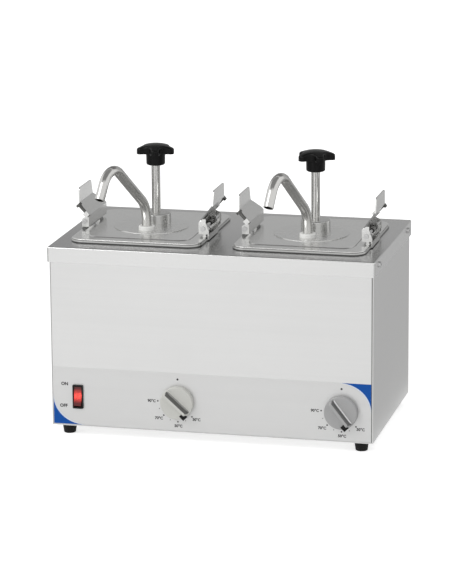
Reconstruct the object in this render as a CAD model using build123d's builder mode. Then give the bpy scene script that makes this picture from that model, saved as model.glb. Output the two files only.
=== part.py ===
from build123d import *
from math import cos, radians, sin, tan
import os

# Electric warmer for two lift-out topping pans. Each pan has a lid with a hand pump and two
# spring latches. Millimetres, +Z up, front towards -Y. The origin is on the floor, under the
# middle of the cabinet.

# ---------------------------------------------------------------- driving dimensions

# Food pans, one sixth of a full gastronorm pan
pan_width = 146.0
pan_length = 160.0
pan_depth = 150.0           # from the top of the rim to the underside
pan_radius = 22.0
pan_draft = 2.0             # degrees
pan_sheet = 0.8
pan_foot_round = 10.0
rim_flange = 8.0            # width of the rim outside the pan's mouth
rim_radius = 17.0
rim_height = 3.0
rim_edge = 1.0
seat_gap = 0.2              # under pieces that are only laid in place

# Deck and cabinet
bay_gap = 38.2              # between the two rims
deck_side = 18.9            # from a rim to the edge of the deck
deck_front = 26.5
deck_back = 34.5
floor_space = 66.3          # between the base plate and the wells
cover_lip = 18.5
cover_sheet = 1.2
cover_bend = 1.6
cover_corner = 2.0
cover_play = 1.0            # between the cover's lip and the panels
panel_sheet = 1.0
panel_flange = 12.0
panel_fit = 0.2             # between sheets nested in each other
panel_seam = 0.4            # open seam round the front and back panels
base_sheet = 1.2
base_flange = 12.0
vent_columns = 15
vent_rows = 2
vent_pitch = 14.0
vent_row_pitch = 34.0
vent_length = 24.0
vent_width = 4.0
vent_drop = 48.0            # below the deck

# Wells and heating
pan_play = 2.0              # between a pan and its opening
pan_gap = 6.4               # under a pan
well_sheet = 0.8
well_flange = 6.0
heater_width = 110.0
heater_length = 104.0
heater_height = 5.0
heater_corner = 8.0
jacket_thickness = 10.0
jacket_fit = 0.3
jacket_inset = 8.0          # from the deck and from the well's floor
sensor_radius = 3.0
sensor_length = 70.0
sensor_lead = 24.0          # from the bulb's end to the dial's axis
sensor_gap = 5.0            # in front of the heating plate
capillary_radius = 0.8

# Fasteners and feet
screw_radius = 2.0
screw_play = 0.15
screw_head_radius = 3.8
screw_head_height = 2.2
screw_head_taper = 15.0     # degrees
screw_socket_radius = 1.3
screw_socket_depth = 1.2
cover_screw_length = 9.0
cover_screw_inset = 26.0    # from the front and back of the cover
cover_screw_drop = 8.0      # below the deck
nut_width = 7.0
nut_height = 3.2
thread_play = 0.05
foot_height = 13.0
foot_top_radius = 9.2
foot_bottom_radius = 7.2
foot_round = 1.2
foot_inset = 19.0           # from the edges of the cover
foot_recess_radius = 4.6
foot_recess_depth = 5.0

# Lids
lid_inset = 1.0             # inside the edge of the rim
lid_edge = 1.5
lid_round = 0.7
lid_band = 15.0             # flat band round the raised middle
lid_rise = 0.7
lid_slope = 40.0            # degrees
lid_sheet = 1.0
lid_lap = 1.5               # solid metal beside the step

# Pumps
rod_setback = 21.5          # rod's axis behind the middle of the lid
spout_setback = -24.0       # spout's axis behind the middle of the lid
flange_radius = 46.0
flange_sheet = 0.8
flange_bevel = 0.3
rod_radius = 5.5
running_play = 0.05
collar_radius = 18.0
collar_height = 11.5
collar_counterbore = 7.0
collar_round = 1.6
neck_radius = 11.0
neck_height = 6.5           # above the pump flange
cylinder_radius = 20.0
cylinder_wall = 2.0
cylinder_head = 4.0
cylinder_floor = 4.0
cylinder_lift = 8.0         # above the pan's floor
inlet_radius = 7.0
outlet_radius = 10.0
outlet_height = 16.0
piston_level = 92.0         # piston's underside above the cylinder's floor
piston_height = 14.0
piston_play = 1.0
seal_groove = 2.5
seal_height = 4.0
seal_play = 0.1
return_coil_radius = 13.0
return_wire = 1.1
return_turns = 7
return_gap = 0.1
knob_level = 71.3           # underside of the pump knob above the pump flange
hub_radius = 11.8
hub_taper = 1.0             # degrees
hub_height = 14.4
hub_round = 2.2
star_height = 11.7
star_radius = 23.6
star_lobes = 5
star_turn_left = -42.0      # degrees, direction of one notch
star_turn_right = -26.0
notch_reach = 24.0
notch_radius = 9.0
lobe_round = 4.0
star_edge_round = 3.0
star_dome_radius = 55.0
rod_in_knob = 18.0
knob_fit = 0.05

# Spouts
spout_radius = 6.0
spout_wall = 1.5
spout_swing_left = 13.0     # degrees to the left of straight ahead
spout_swing_right = 10.9
spout_rise = 12.0           # straight length above the lid
spout_bend_radius = 36.0
spout_bend_turn = 51.8      # degrees
spout_run = 69.0
spout_top_radius = 26.0
spout_top_turn = 96.2       # degrees
spout_end = 20.0
spout_collar_radius = 10.0
spout_collar_height = 4.5
spout_collar_round = 1.0

# Latches: x outwards from the lid's middle, y along its edge, heights above the pivot
latch_length = 79.0
latch_shift = -5.5          # middle of the latch along the lid's edge
latch_sheet = 1.5
pivot_inset = 4.5           # inside the lid's edge
pivot_level = 9.6           # above the lid's band
web_offset = 3.75           # web's outer face inside the pivot
web_drop = 6.4
bend_level = 7.2
tab_lean = 34.0             # degrees, outwards
tab_reach = 20.0            # along the leaning sheet
tab_shoulder = 3.0
tab_cut = 21.0              # off the near end at the upper bend
finger_height = 18.0        # upright plate above the upper bend
finger_cut = 28.0           # off the near end at the top
finger_round = 4.0
cheek_sheet = 1.2
cheek_margin = 3.5
cheek_shoulder = -2.5
ear_cheek_top = 3.5
cheek_waist = 7.5
cheek_top = 12.0
cheek_top_width = 4.0
jaw_gap = 0.3
jaw_sheet = 1.5
jaw_overlap = 2.0           # how far the jaw reaches down beside the rim
jaw_height = 6.4
jaw_end = 9.5               # end of the jaw from the middle of the latch
pin_radius = 2.0
pin_head_radius = 3.0
pin_head_height = 1.0
pin_head_gap = 0.3
bracket_sheet = 1.2
bracket_width = 4.4
bracket_margin = 0.8        # inside the lid's edge
ear_gap = 0.4
ear_radius = 3.2
ear_foot = 0.3              # ear's inner foot outside the pivot
coil_radius = 2.95
coil_wire = 0.5
coil_turns = 6
coil_pitch = 1.6
coil_start = 150.0          # degrees, where the lower leg leaves the coil
coil_end = 180.0            # degrees, where the upper leg does
coil_leg = 6.0
adjuster_radius = 1.9
adjuster_length = 20.0
adjuster_lean = 43.0        # degrees from upright, outwards
adjuster_head_radius = 3.8
adjuster_head_height = 3.0
adjuster_start_x = -7.0     # lower end of the screw, from the pivot
adjuster_start_z = 7.9
lug_width = 8.6
lug_depth = 6.0
lug_height = 6.0
lug_start = 1.0

# Controls
overlay_sheet = 0.3
overlay_margin = 0.7        # from the sides of the front panel
overlay_low = 2.0           # above the cabinet's underside
overlay_high = 73.0
dial_height = 37.6          # above the cabinet's underside
dial_inset = 40.0           # right-hand dial, from the side of the cover
dial_pitch = 200.5
knob_radius = 20.0
knob_gap = 0.5
knob_skirt = 7.5
knob_round = 1.2
grip_length = 37.0
grip_width = 9.0
grip_height = 8.5
grip_corner = 2.0
grip_taper = 14.0           # degrees
grip_edge_round = 0.8
grip_slope_left = -41.6     # degrees
grip_slope_right = -52.0
shaft_radius = 3.0
shaft_flat = 1.0
shaft_in_knob = 10.0
shaft_in_body = 9.0
shaft_end_gap = 0.5
shaft_play = 0.08
thermostat_size = 33.0
thermostat_depth = 28.0
thermostat_corner = 3.0
bushing_radius = 5.0
bushing_fit = 0.2
switch_inset = 35.2         # from the left side of the cover
switch_height = 37.0        # above the cabinet's underside
bezel_width = 13.0
bezel_height = 29.4
bezel_depth = 2.2
bezel_corner = 1.0
bezel_lap = 0.9
switch_fit = 0.2
switch_depth = 22.0         # behind the bezel
switch_wall = 0.8
switch_floor = 5.0
switch_blades = 3
blade_pitch = 8.0
blade_width = 6.3
blade_sheet = 0.8
blade_length = 8.0
rocker_gap = 0.3
rocker_pivot = 4.0          # behind the bezel's front
rocker_reach = 11.6
rocker_rise = 4.8
rocker_valley = 3.6
rocker_root = 6.0
rocker_root_reach = 4.5
rocker_pin_radius = 1.0
rocker_pin_length = 0.9
rocker_tilt = 10.0          # degrees, upper end pressed in

# Supply
gland_inset = 50.0          # from the right side of the cover
gland_height = 29.0         # above the cabinet's underside
gland_hex = 22.0
gland_flange = 5.0
gland_nut = 4.0
gland_dome_radius = 9.6
gland_dome = 13.0
gland_dome_round = 3.0
gland_thread_radius = 7.9
gland_bore = 3.8
terminal_width = 46.0
terminal_depth = 18.0
terminal_height = 14.0
terminal_ways = 4
terminal_slot = 2.0
terminal_shift = -40.0      # beside the gland
terminal_back = 34.0        # in front of the back panel
wire_radius = 1.1
wire_bend = 6.0
wire_gap = 0.3

# ---------------------------------------------------------------- sizes that follow

rim_width = pan_width + 2 * rim_flange
rim_length = pan_length + 2 * rim_flange
cover_width = 2 * rim_width + bay_gap + 2 * deck_side
cover_depth = rim_length + deck_front + deck_back
bay_x = (rim_width + bay_gap) / 2
bay_y = (deck_front - deck_back) / 2
bay_places = {"left": Location((-bay_x, bay_y, 0)), "right": Location((bay_x, bay_y, 0))}
both_bays = [(-bay_x, bay_y), (bay_x, bay_y)]

panel_x = cover_width / 2 - cover_sheet - cover_play
panel_y = cover_depth / 2 - cover_sheet - cover_play
inner_x = panel_x - panel_sheet
inner_y = panel_y - panel_sheet
front_half = inner_x - panel_seam
cover_screw_y = cover_depth / 2 - cover_screw_inset
foot_x = cover_width / 2 - foot_inset
foot_y = cover_depth / 2 - foot_inset

panel_bottom = foot_height + base_sheet
seam_bottom = panel_bottom + panel_seam
well_underside = panel_bottom + floor_space
well_floor = well_underside + well_sheet
pan_underside = well_floor + pan_gap
pan_floor = pan_underside + pan_sheet
rim_top = pan_underside + pan_depth
rim_bottom = rim_top - rim_height
deck_height = rim_bottom - seat_gap
panel_top = deck_height - cover_sheet
cover_screw_z = deck_height - cover_screw_drop

opening_width = pan_width + 2 * pan_play
opening_length = pan_length + 2 * pan_play
opening_radius = pan_radius + pan_play

lid_width = rim_width - 2 * lid_inset
lid_length = rim_length - 2 * lid_inset
lid_radius = rim_radius - lid_inset
lid_bottom = rim_top + seat_gap
band_top = lid_bottom + lid_edge
lid_top = band_top + lid_rise
flange_top = lid_top + flange_sheet
flange_y = (rod_setback + spout_setback) / 2

cylinder_bottom = pan_floor + cylinder_lift
cylinder_top = lid_top - lid_sheet
cylinder_bore = cylinder_radius - cylinder_wall
neck_top = flange_top + neck_height
outlet_level = cylinder_bottom + outlet_height / 2
spout_bore = spout_radius - spout_wall
spout_start = cylinder_bottom + outlet_height
spout_swings = {"left": spout_swing_left, "right": spout_swing_right}
spring_bottom = cylinder_bottom + cylinder_floor
piston_bottom = spring_bottom + piston_level
piston_radius = cylinder_bore - piston_play
hub_bottom = flange_top + knob_level
star_bottom = hub_bottom + hub_height
star_top = star_bottom + star_height
star_turns = {"left": star_turn_left, "right": star_turn_right}

pivot_x = lid_width / 2 - pivot_inset
pivot_z = band_top + pivot_level
jaw_x = rim_width / 2 + jaw_gap
latch_far = latch_shift + latch_length / 2
latch_near = latch_shift - latch_length / 2
cheek_inner = latch_length / 2 - cheek_sheet
rib_end = latch_shift + jaw_end

overlay_front = -panel_y - overlay_sheet
bezel_front = overlay_front - bezel_depth
switch_x = switch_inset - cover_width / 2
switch_z = foot_height + switch_height
dial_z = foot_height + dial_height
dial_right = cover_width / 2 - dial_inset
dials = {"left": dial_right - dial_pitch, "right": dial_right}
grip_slopes = {"left": grip_slope_left, "right": grip_slope_right}
knob_back = overlay_front - knob_gap
cavity_width = bezel_width - 2 * (bezel_lap + switch_wall)
cavity_height = bezel_height - 2 * (bezel_lap + switch_wall)
gland_x = cover_width / 2 - gland_inset
gland_z = foot_height + gland_height

os.makedirs("parts", exist_ok=True)


def write(piece, name):
    """Label a finished piece and write its STEP file."""
    piece.label = name
    export_step(piece, f"parts/{name}.step")


# ---------------------------------------------------------------- cabinet shell

foot_places = [(x, y) for x in (-foot_x, foot_x) for y in (-foot_y, foot_y)]
cover_screw_places = [(y, cover_screw_z) for y in (-cover_screw_y, cover_screw_y)]

with BuildPart() as base_plate:
    with BuildSketch(Plane.XY.offset(foot_height)):
        Rectangle(2 * panel_x, 2 * panel_y)
    extrude(amount=base_sheet)
    with BuildSketch(Plane.XY.offset(panel_bottom)):
        Rectangle(2 * (inner_x - panel_fit), 2 * (inner_y - panel_fit))
        offset(amount=-base_sheet, kind=Kind.INTERSECTION, mode=Mode.SUBTRACT)
    extrude(amount=base_flange)
    with BuildSketch(Plane.XY.offset(foot_height)):
        with Locations(*foot_places):
            Circle(screw_radius + screw_play)
    extrude(amount=base_sheet, mode=Mode.SUBTRACT)
write(base_plate.part, "base_plate")

# Each side panel carries the cover on an inturned flange.
for side, direction in {"left": -1, "right": 1}.items():
    with BuildPart() as side_panel:
        with BuildSketch(Plane.YZ.offset(direction * inner_x)):
            with Locations((0, (panel_bottom + panel_top) / 2)):
                Rectangle(2 * panel_y, panel_top - panel_bottom)
            with Locations(*cover_screw_places):
                Circle(screw_radius + screw_play, mode=Mode.SUBTRACT)
        extrude(amount=direction * panel_sheet)
        with BuildSketch(Plane.XY.offset(panel_top)):
            with Locations((direction * (inner_x - panel_flange / 2), 0)):
                Rectangle(panel_flange, 2 * (inner_y - panel_fit))
        extrude(amount=-panel_sheet)
    write(side_panel.part, f"side_panel_{side}")


def end_panel(end):
    """Front (-1) or back (+1) sheet between the side panels, with a flange under the deck."""
    with BuildPart() as panel:
        with BuildSketch(Plane.XZ.offset(-end * inner_y)):
            with Locations((0, (seam_bottom + panel_top) / 2)):
                Rectangle(2 * front_half, panel_top - seam_bottom)
        extrude(amount=-end * panel_sheet)
        with BuildSketch(Plane.XY.offset(panel_top)):
            with Locations((0, end * (inner_y - panel_flange / 2))):
                Rectangle(2 * (inner_x - panel_flange - panel_fit), panel_flange)
        extrude(amount=-panel_sheet)
    return panel.part


dial_places = [(x, dial_z) for x in dials.values()]

with BuildPart() as front_panel:
    add(end_panel(-1))
    with BuildSketch(Plane.XZ.offset(inner_y)):
        with Locations(*dial_places):
            Circle(bushing_radius + bushing_fit)
        with Locations((switch_x, switch_z)):
            Rectangle(bezel_width - 2 * bezel_lap + 2 * switch_fit,
                      bezel_height - 2 * bezel_lap + 2 * switch_fit)
    extrude(amount=panel_sheet, mode=Mode.SUBTRACT)
write(front_panel.part, "front_panel")

with BuildPart() as back_panel:
    add(end_panel(1))
    with BuildSketch(Plane.XZ.offset(-inner_y)):
        with Locations((gland_x, gland_z)):
            Circle(gland_thread_radius + thread_play)
        with Locations((0, deck_height - vent_drop)):
            with GridLocations(vent_pitch, vent_row_pitch, vent_columns, vent_rows):
                SlotOverall(vent_length, vent_width, rotation=90)
    extrude(amount=-panel_sheet, mode=Mode.SUBTRACT)
write(back_panel.part, "back_panel")

with BuildPart() as top_cover:
    with BuildSketch(Plane.XY.offset(deck_height)):
        RectangleRounded(cover_width, cover_depth, cover_corner)
    extrude(amount=-cover_lip)
    fillet(top_cover.faces().sort_by(Axis.Z)[-1].edges(), cover_bend)
    with BuildSketch(Plane.XY.offset(panel_top)):
        Rectangle(cover_width - 2 * cover_sheet, cover_depth - 2 * cover_sheet)
    extrude(amount=cover_sheet - cover_lip, mode=Mode.SUBTRACT)
    with BuildSketch(Plane.XY.offset(panel_top)):
        with Locations(*both_bays):
            RectangleRounded(opening_width, opening_length, opening_radius)
    extrude(amount=cover_sheet, mode=Mode.SUBTRACT)
    with BuildSketch(Plane.YZ.offset(-cover_width / 2)):
        with Locations(*cover_screw_places):
            Circle(screw_radius + screw_play)
    extrude(amount=cover_width, mode=Mode.SUBTRACT)
write(top_cover.part, "top_cover")

# Button-head screws hold the cover; longer ones with nuts hold the feet.
with BuildPart() as cabinet_screws:
    for direction in (-1, 1):
        seat = Plane.YZ.offset(direction * cover_width / 2)
        with BuildSketch(seat):
            with Locations(*cover_screw_places):
                Circle(screw_head_radius)
        extrude(amount=direction * screw_head_height, taper=screw_head_taper)
        with BuildSketch(seat):
            with Locations(*cover_screw_places):
                Circle(screw_radius)
        extrude(amount=-direction * cover_screw_length)
        with BuildSketch(seat.offset(direction * screw_head_height)):
            with Locations(*cover_screw_places):
                RegularPolygon(screw_socket_radius, 6)
        extrude(amount=-direction * screw_socket_depth, mode=Mode.SUBTRACT)
    with BuildSketch(Plane.XY.offset(foot_recess_depth - screw_head_height)):
        with Locations(*foot_places):
            Circle(screw_head_radius)
    extrude(amount=screw_head_height)
    with BuildSketch(Plane.XY.offset(foot_recess_depth)):
        with Locations(*foot_places):
            Circle(screw_radius)
    extrude(amount=panel_bottom + nut_height - foot_recess_depth)
    with BuildSketch(Plane.XY.offset(panel_bottom)):
        with Locations(*foot_places):
            RegularPolygon(nut_width / 2, 6, major_radius=False)
            Circle(screw_radius, mode=Mode.SUBTRACT)
    extrude(amount=nut_height)
write(cabinet_screws.part, "cabinet_screws")

with BuildPart() as rubber_feet:
    for place in foot_places:
        with BuildSketch(Plane.XY):
            with Locations(place):
                Circle(foot_bottom_radius)
        with BuildSketch(Plane.XY.offset(foot_height)):
            with Locations(place):
                Circle(foot_top_radius)
        loft()
    fillet(rubber_feet.edges().group_by(Axis.Z)[0], foot_round)
    with BuildSketch(Plane.XY):
        with Locations(*foot_places):
            Circle(foot_recess_radius)
    extrude(amount=foot_recess_depth, mode=Mode.SUBTRACT)
    with BuildSketch(Plane.XY.offset(foot_recess_depth)):
        with Locations(*foot_places):
            Circle(screw_radius + thread_play)
    extrude(amount=foot_height - foot_recess_depth, mode=Mode.SUBTRACT)
write(rubber_feet.part, "rubber_feet")

# ---------------------------------------------------------------- wells, heating and pans


def bay_outline(grow):
    """Outline of a pan's opening, grown outwards."""
    RectangleRounded(opening_width + 2 * grow, opening_length + 2 * grow, opening_radius + grow)


with BuildPart() as inner_well:
    with BuildSketch(Plane.XY.offset(well_underside)):
        bay_outline(well_sheet)
    extrude(amount=panel_top - well_underside)
    with BuildSketch(Plane.XY.offset(panel_top)):
        bay_outline(well_flange)
    extrude(amount=-well_sheet)
    with BuildSketch(Plane.XY.offset(well_floor)):
        bay_outline(0)
    extrude(amount=panel_top - well_floor, mode=Mode.SUBTRACT)

with BuildPart() as pan_cavity:
    with BuildSketch(Plane.XY.offset(rim_top)):
        RectangleRounded(pan_width - 2 * pan_sheet, pan_length - 2 * pan_sheet, pan_radius - pan_sheet)
    extrude(amount=pan_floor - rim_top, taper=pan_draft)
    fillet(pan_cavity.edges().group_by(Axis.Z)[0], pan_foot_round - pan_sheet)

with BuildPart() as food_pan:
    with BuildSketch(Plane.XY.offset(rim_top)):
        RectangleRounded(pan_width, pan_length, pan_radius)
    extrude(amount=-pan_depth, taper=pan_draft)
    fillet(food_pan.edges().group_by(Axis.Z)[0], pan_foot_round)
    add(pan_cavity.part, mode=Mode.SUBTRACT)
    with BuildSketch(Plane.XY.offset(rim_top)):
        RectangleRounded(rim_width, rim_length, rim_radius)
        RectangleRounded(pan_width - pan_sheet, pan_length - pan_sheet,
                         pan_radius - pan_sheet / 2, mode=Mode.SUBTRACT)
    extrude(amount=-pan_sheet)
    with BuildSketch(Plane.XY.offset(rim_bottom)):
        RectangleRounded(rim_width, rim_length, rim_radius)
        RectangleRounded(rim_width - 2 * rim_edge, rim_length - 2 * rim_edge,
                         rim_radius - rim_edge, mode=Mode.SUBTRACT)
    extrude(amount=rim_height - pan_sheet)

for side, place in bay_places.items():
    write(inner_well.part.moved(place), f"inner_well_{side}")
    write(food_pan.part.moved(place), f"food_pan_{side}")

with BuildPart() as heating_plates:
    with BuildSketch(Plane.XY.offset(well_underside)):
        with Locations(*both_bays):
            RectangleRounded(heater_width, heater_length, heater_corner)
    extrude(amount=-heater_height)
write(heating_plates.part, "heating_plates")

with BuildPart() as insulation_jacket:
    with BuildSketch(Plane.XY.offset(well_floor + jacket_inset)):
        bay_outline(well_sheet + jacket_fit + jacket_thickness)
    extrude(amount=panel_top - well_floor - 2 * jacket_inset)
    with BuildSketch(Plane.XY.offset(well_floor + jacket_inset)):
        bay_outline(well_sheet + jacket_fit)
    extrude(amount=panel_top - well_floor - 2 * jacket_inset, mode=Mode.SUBTRACT)

with BuildPart() as insulation_jackets:
    for place in bay_places.values():
        add(insulation_jacket.part.moved(place))
write(insulation_jackets.part, "insulation_jackets")

# ---------------------------------------------------------------- lids and pumps

with BuildPart() as lid:
    with BuildSketch(Plane.XY.offset(lid_bottom)):
        RectangleRounded(lid_width, lid_length, lid_radius)
    extrude(amount=lid_edge)
    fillet(lid.faces().sort_by(Axis.Z)[-1].edges(), lid_round)
    with BuildSketch(Plane.XY.offset(band_top)):
        RectangleRounded(lid_width - 2 * lid_band, lid_length - 2 * lid_band, lid_radius)
    extrude(amount=lid_rise, taper=lid_slope)
    with BuildSketch(Plane.XY.offset(lid_bottom)):
        RectangleRounded(lid_width - 2 * (lid_band + lid_lap), lid_length - 2 * (lid_band + lid_lap),
                         lid_radius - lid_lap)
    extrude(amount=cylinder_top - lid_bottom, mode=Mode.SUBTRACT)
    with BuildSketch(Plane.XY.offset(lid_bottom)):
        with Locations((0, rod_setback)):
            Circle(neck_radius + thread_play)
        with Locations((0, spout_setback)):
            Circle(spout_radius + thread_play)
    extrude(amount=lid_top - lid_bottom, mode=Mode.SUBTRACT)

with BuildPart() as pump_flange:
    with BuildSketch(Plane.XY.offset(lid_top)):
        with Locations((0, flange_y)):
            Circle(flange_radius)
    extrude(amount=flange_sheet)
    chamfer(pump_flange.edges().group_by(Axis.Z)[-1], flange_bevel)
    with BuildSketch(Plane.XY.offset(lid_top)):
        with Locations((0, rod_setback)):
            Circle(neck_radius + thread_play)
        with Locations((0, spout_setback)):
            Circle(spout_radius + thread_play)
    extrude(amount=flange_sheet, mode=Mode.SUBTRACT)

# The cylinder hangs under the lid. Its threaded neck comes up through lid and flange, and a
# boss beside its foot feeds the spout.
with BuildPart() as pump_cylinder:
    with BuildSketch(Plane.XY.offset(cylinder_bottom)):
        with Locations((0, rod_setback)):
            Circle(cylinder_radius)
    extrude(amount=cylinder_top - cylinder_bottom)
    with BuildSketch(Plane.XY.offset(cylinder_top)):
        with Locations((0, rod_setback)):
            Circle(neck_radius)
    extrude(amount=neck_top - cylinder_top)
    with BuildSketch(Plane.XY.offset(cylinder_bottom)):
        with Locations((0, spout_setback)):
            Circle(outlet_radius)
        with Locations((0, flange_y)):
            Rectangle(2 * (spout_bore + cylinder_wall), rod_setback - spout_setback)
    extrude(amount=outlet_height)
    with BuildSketch(Plane.XY.offset(spring_bottom)):
        with Locations((0, rod_setback)):
            Circle(cylinder_bore)
    extrude(amount=cylinder_top - cylinder_head - spring_bottom, mode=Mode.SUBTRACT)
    with BuildSketch(Plane.XY.offset(neck_top)):
        with Locations((0, rod_setback)):
            Circle(rod_radius + running_play)
    extrude(amount=cylinder_top - cylinder_head - neck_top, mode=Mode.SUBTRACT)
    with BuildSketch(Plane.XY.offset(cylinder_bottom)):
        with Locations((0, rod_setback)):
            Circle(inlet_radius)
    extrude(amount=cylinder_floor, mode=Mode.SUBTRACT)
    with BuildSketch(Plane.XZ.offset(-spout_setback)):
        with Locations((0, outlet_level)):
            Circle(spout_bore)
    extrude(amount=spout_setback - rod_setback + cylinder_bore - cylinder_wall, mode=Mode.SUBTRACT)
    with BuildSketch(Plane.XY.offset(outlet_level)):
        with Locations((0, spout_setback)):
            Circle(spout_bore)
    extrude(amount=spout_start - outlet_level, mode=Mode.SUBTRACT)

with BuildPart() as rod_collar:
    with BuildSketch(Plane.XY.offset(flange_top)):
        with Locations((0, rod_setback)):
            Circle(collar_radius)
    extrude(amount=collar_height)
    fillet(rod_collar.edges().group_by(Axis.Z)[-1], collar_round)
    with BuildSketch(Plane.XY.offset(flange_top)):
        with Locations((0, rod_setback)):
            Circle(rod_radius + running_play)
    extrude(amount=collar_height, mode=Mode.SUBTRACT)
    with BuildSketch(Plane.XY.offset(flange_top)):
        with Locations((0, rod_setback)):
            Circle(neck_radius + thread_play)
    extrude(amount=collar_counterbore, mode=Mode.SUBTRACT)

# Modelled on its own axis, facing straight ahead: it rises from the boss, leans forwards
# and turns over at its top.
with BuildPart() as spout_tube:
    with BuildLine(Plane(origin=(0, 0, 0), x_dir=(0, -1, 0), z_dir=(-1, 0, 0))) as spout_path:
        riser = Line((0, spout_start), (0, lid_top + spout_rise))
        bend = JernArc(riser @ 1, riser % 1, spout_bend_radius, -spout_bend_turn)
        run = Line(bend @ 1, bend @ 1 + (bend % 1) * spout_run)
        crook = JernArc(run @ 1, run % 1, spout_top_radius, -spout_top_turn)
        Line(crook @ 1, crook @ 1 + (crook % 1) * spout_end)
    with BuildSketch(Plane(origin=riser @ 0, z_dir=riser % 0)):
        Circle(spout_radius)
        Circle(spout_bore, mode=Mode.SUBTRACT)
    sweep(path=spout_path.line)

with BuildPart() as spout_collar:
    with BuildSketch(Plane.XY.offset(flange_top)):
        with Locations((0, spout_setback)):
            Circle(spout_collar_radius)
    extrude(amount=spout_collar_height)
    fillet(spout_collar.edges().group_by(Axis.Z)[-1], spout_collar_round)
    with BuildSketch(Plane.XY.offset(flange_top)):
        with Locations((0, spout_setback)):
            Circle(spout_radius + thread_play)
    extrude(amount=spout_collar_height, mode=Mode.SUBTRACT)

with BuildPart() as plunger_rod:
    with BuildSketch(Plane.XY.offset(piston_bottom)):
        with Locations((0, rod_setback)):
            Circle(piston_radius)
    extrude(amount=piston_height)
    with BuildSketch(Plane.XY.offset(piston_bottom + piston_height)):
        with Locations((0, rod_setback)):
            Circle(rod_radius)
    extrude(amount=hub_bottom + rod_in_knob - piston_bottom - piston_height)
    with BuildSketch(Plane.XY.offset(piston_bottom + (piston_height - seal_height) / 2)):
        with Locations((0, rod_setback)):
            Circle(piston_radius)
            Circle(piston_radius - seal_groove, mode=Mode.SUBTRACT)
    extrude(amount=seal_height, mode=Mode.SUBTRACT)

with BuildPart() as piston_seal:
    with BuildSketch(Plane.XY.offset(piston_bottom + (piston_height - seal_height) / 2)):
        with Locations((0, rod_setback)):
            Circle(cylinder_bore - seal_play)
            Circle(piston_radius - seal_groove, mode=Mode.SUBTRACT)
    extrude(amount=seal_height)

spring_height = piston_level - 2 * (return_wire + return_gap)
with BuildPart() as return_spring:
    with BuildLine(Plane((0, rod_setback, spring_bottom + return_wire + return_gap))):
        coil = Helix(spring_height / return_turns, spring_height, return_coil_radius)
    with BuildSketch(Plane(origin=coil @ 0, z_dir=coil % 0)):
        Circle(return_wire)
    sweep(path=coil)

# Modelled on the rod's axis.
with BuildPart() as pump_knob:
    with BuildSketch(Plane.XY.offset(star_bottom)):
        Circle(star_radius)
        with PolarLocations(notch_reach, star_lobes):
            Circle(notch_radius, mode=Mode.SUBTRACT)
    extrude(amount=star_height)
    fillet(pump_knob.edges().filter_by(Axis.Z), lobe_round)
    with Locations((0, 0, star_top - star_dome_radius)):
        Sphere(star_dome_radius, mode=Mode.INTERSECT)
    fillet(pump_knob.faces().sort_by(Axis.Z)[-1].edges(), star_edge_round)
    with BuildSketch(Plane.XY.offset(star_bottom)):
        Circle(hub_radius)
    extrude(amount=-hub_height, taper=hub_taper)
    fillet(pump_knob.edges().group_by(Axis.Z)[0], hub_round)
    with BuildSketch(Plane.XY.offset(hub_bottom)):
        Circle(rod_radius + knob_fit)
    extrude(amount=rod_in_knob, mode=Mode.SUBTRACT)

pump_pieces = {
    "lid": lid,
    "pump_flange": pump_flange,
    "pump_cylinder": pump_cylinder,
    "rod_collar": rod_collar,
    "spout_collar": spout_collar,
    "plunger_rod": plunger_rod,
    "piston_seal": piston_seal,
    "return_spring": return_spring,
}
for side, place in bay_places.items():
    for name, piece in pump_pieces.items():
        write(piece.part.moved(place), f"{name}_{side}")
    in_boss = Location((0, spout_setback, 0), (0, 0, -spout_swings[side]))
    write(spout_tube.part.moved(place * in_boss), f"spout_tube_{side}")
    on_rod = Location((0, rod_setback, 0), (0, 0, star_turns[side]))
    write(pump_knob.part.moved(place * on_rod), f"pump_knob_{side}")

# ---------------------------------------------------------------- latches

# Modelled on the right-hand side of a lid; the left-hand one is the same latch turned round.
lean = radians(tab_lean)
web_x = pivot_x - web_offset
web_bottom = pivot_z - web_drop
bend_z = pivot_z + bend_level
tab_x = web_x + tab_reach * sin(lean)
tab_z = bend_z + tab_reach * cos(lean)
finger_top = tab_z + finger_height
mitre = latch_sheet * tan(lean / 2)
cheek_top_z = pivot_z + cheek_top
cheek_top_x = web_x + (cheek_top_z - bend_z) * tan(lean)
jaw_bottom = rim_top - jaw_overlap
adjuster_plane = Plane(
    origin=(pivot_x + adjuster_start_x, latch_far + lug_width / 2, pivot_z + adjuster_start_z),
    x_dir=(0, 1, 0),
    z_dir=(sin(radians(adjuster_lean)), 0, cos(radians(adjuster_lean))),
)

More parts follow.
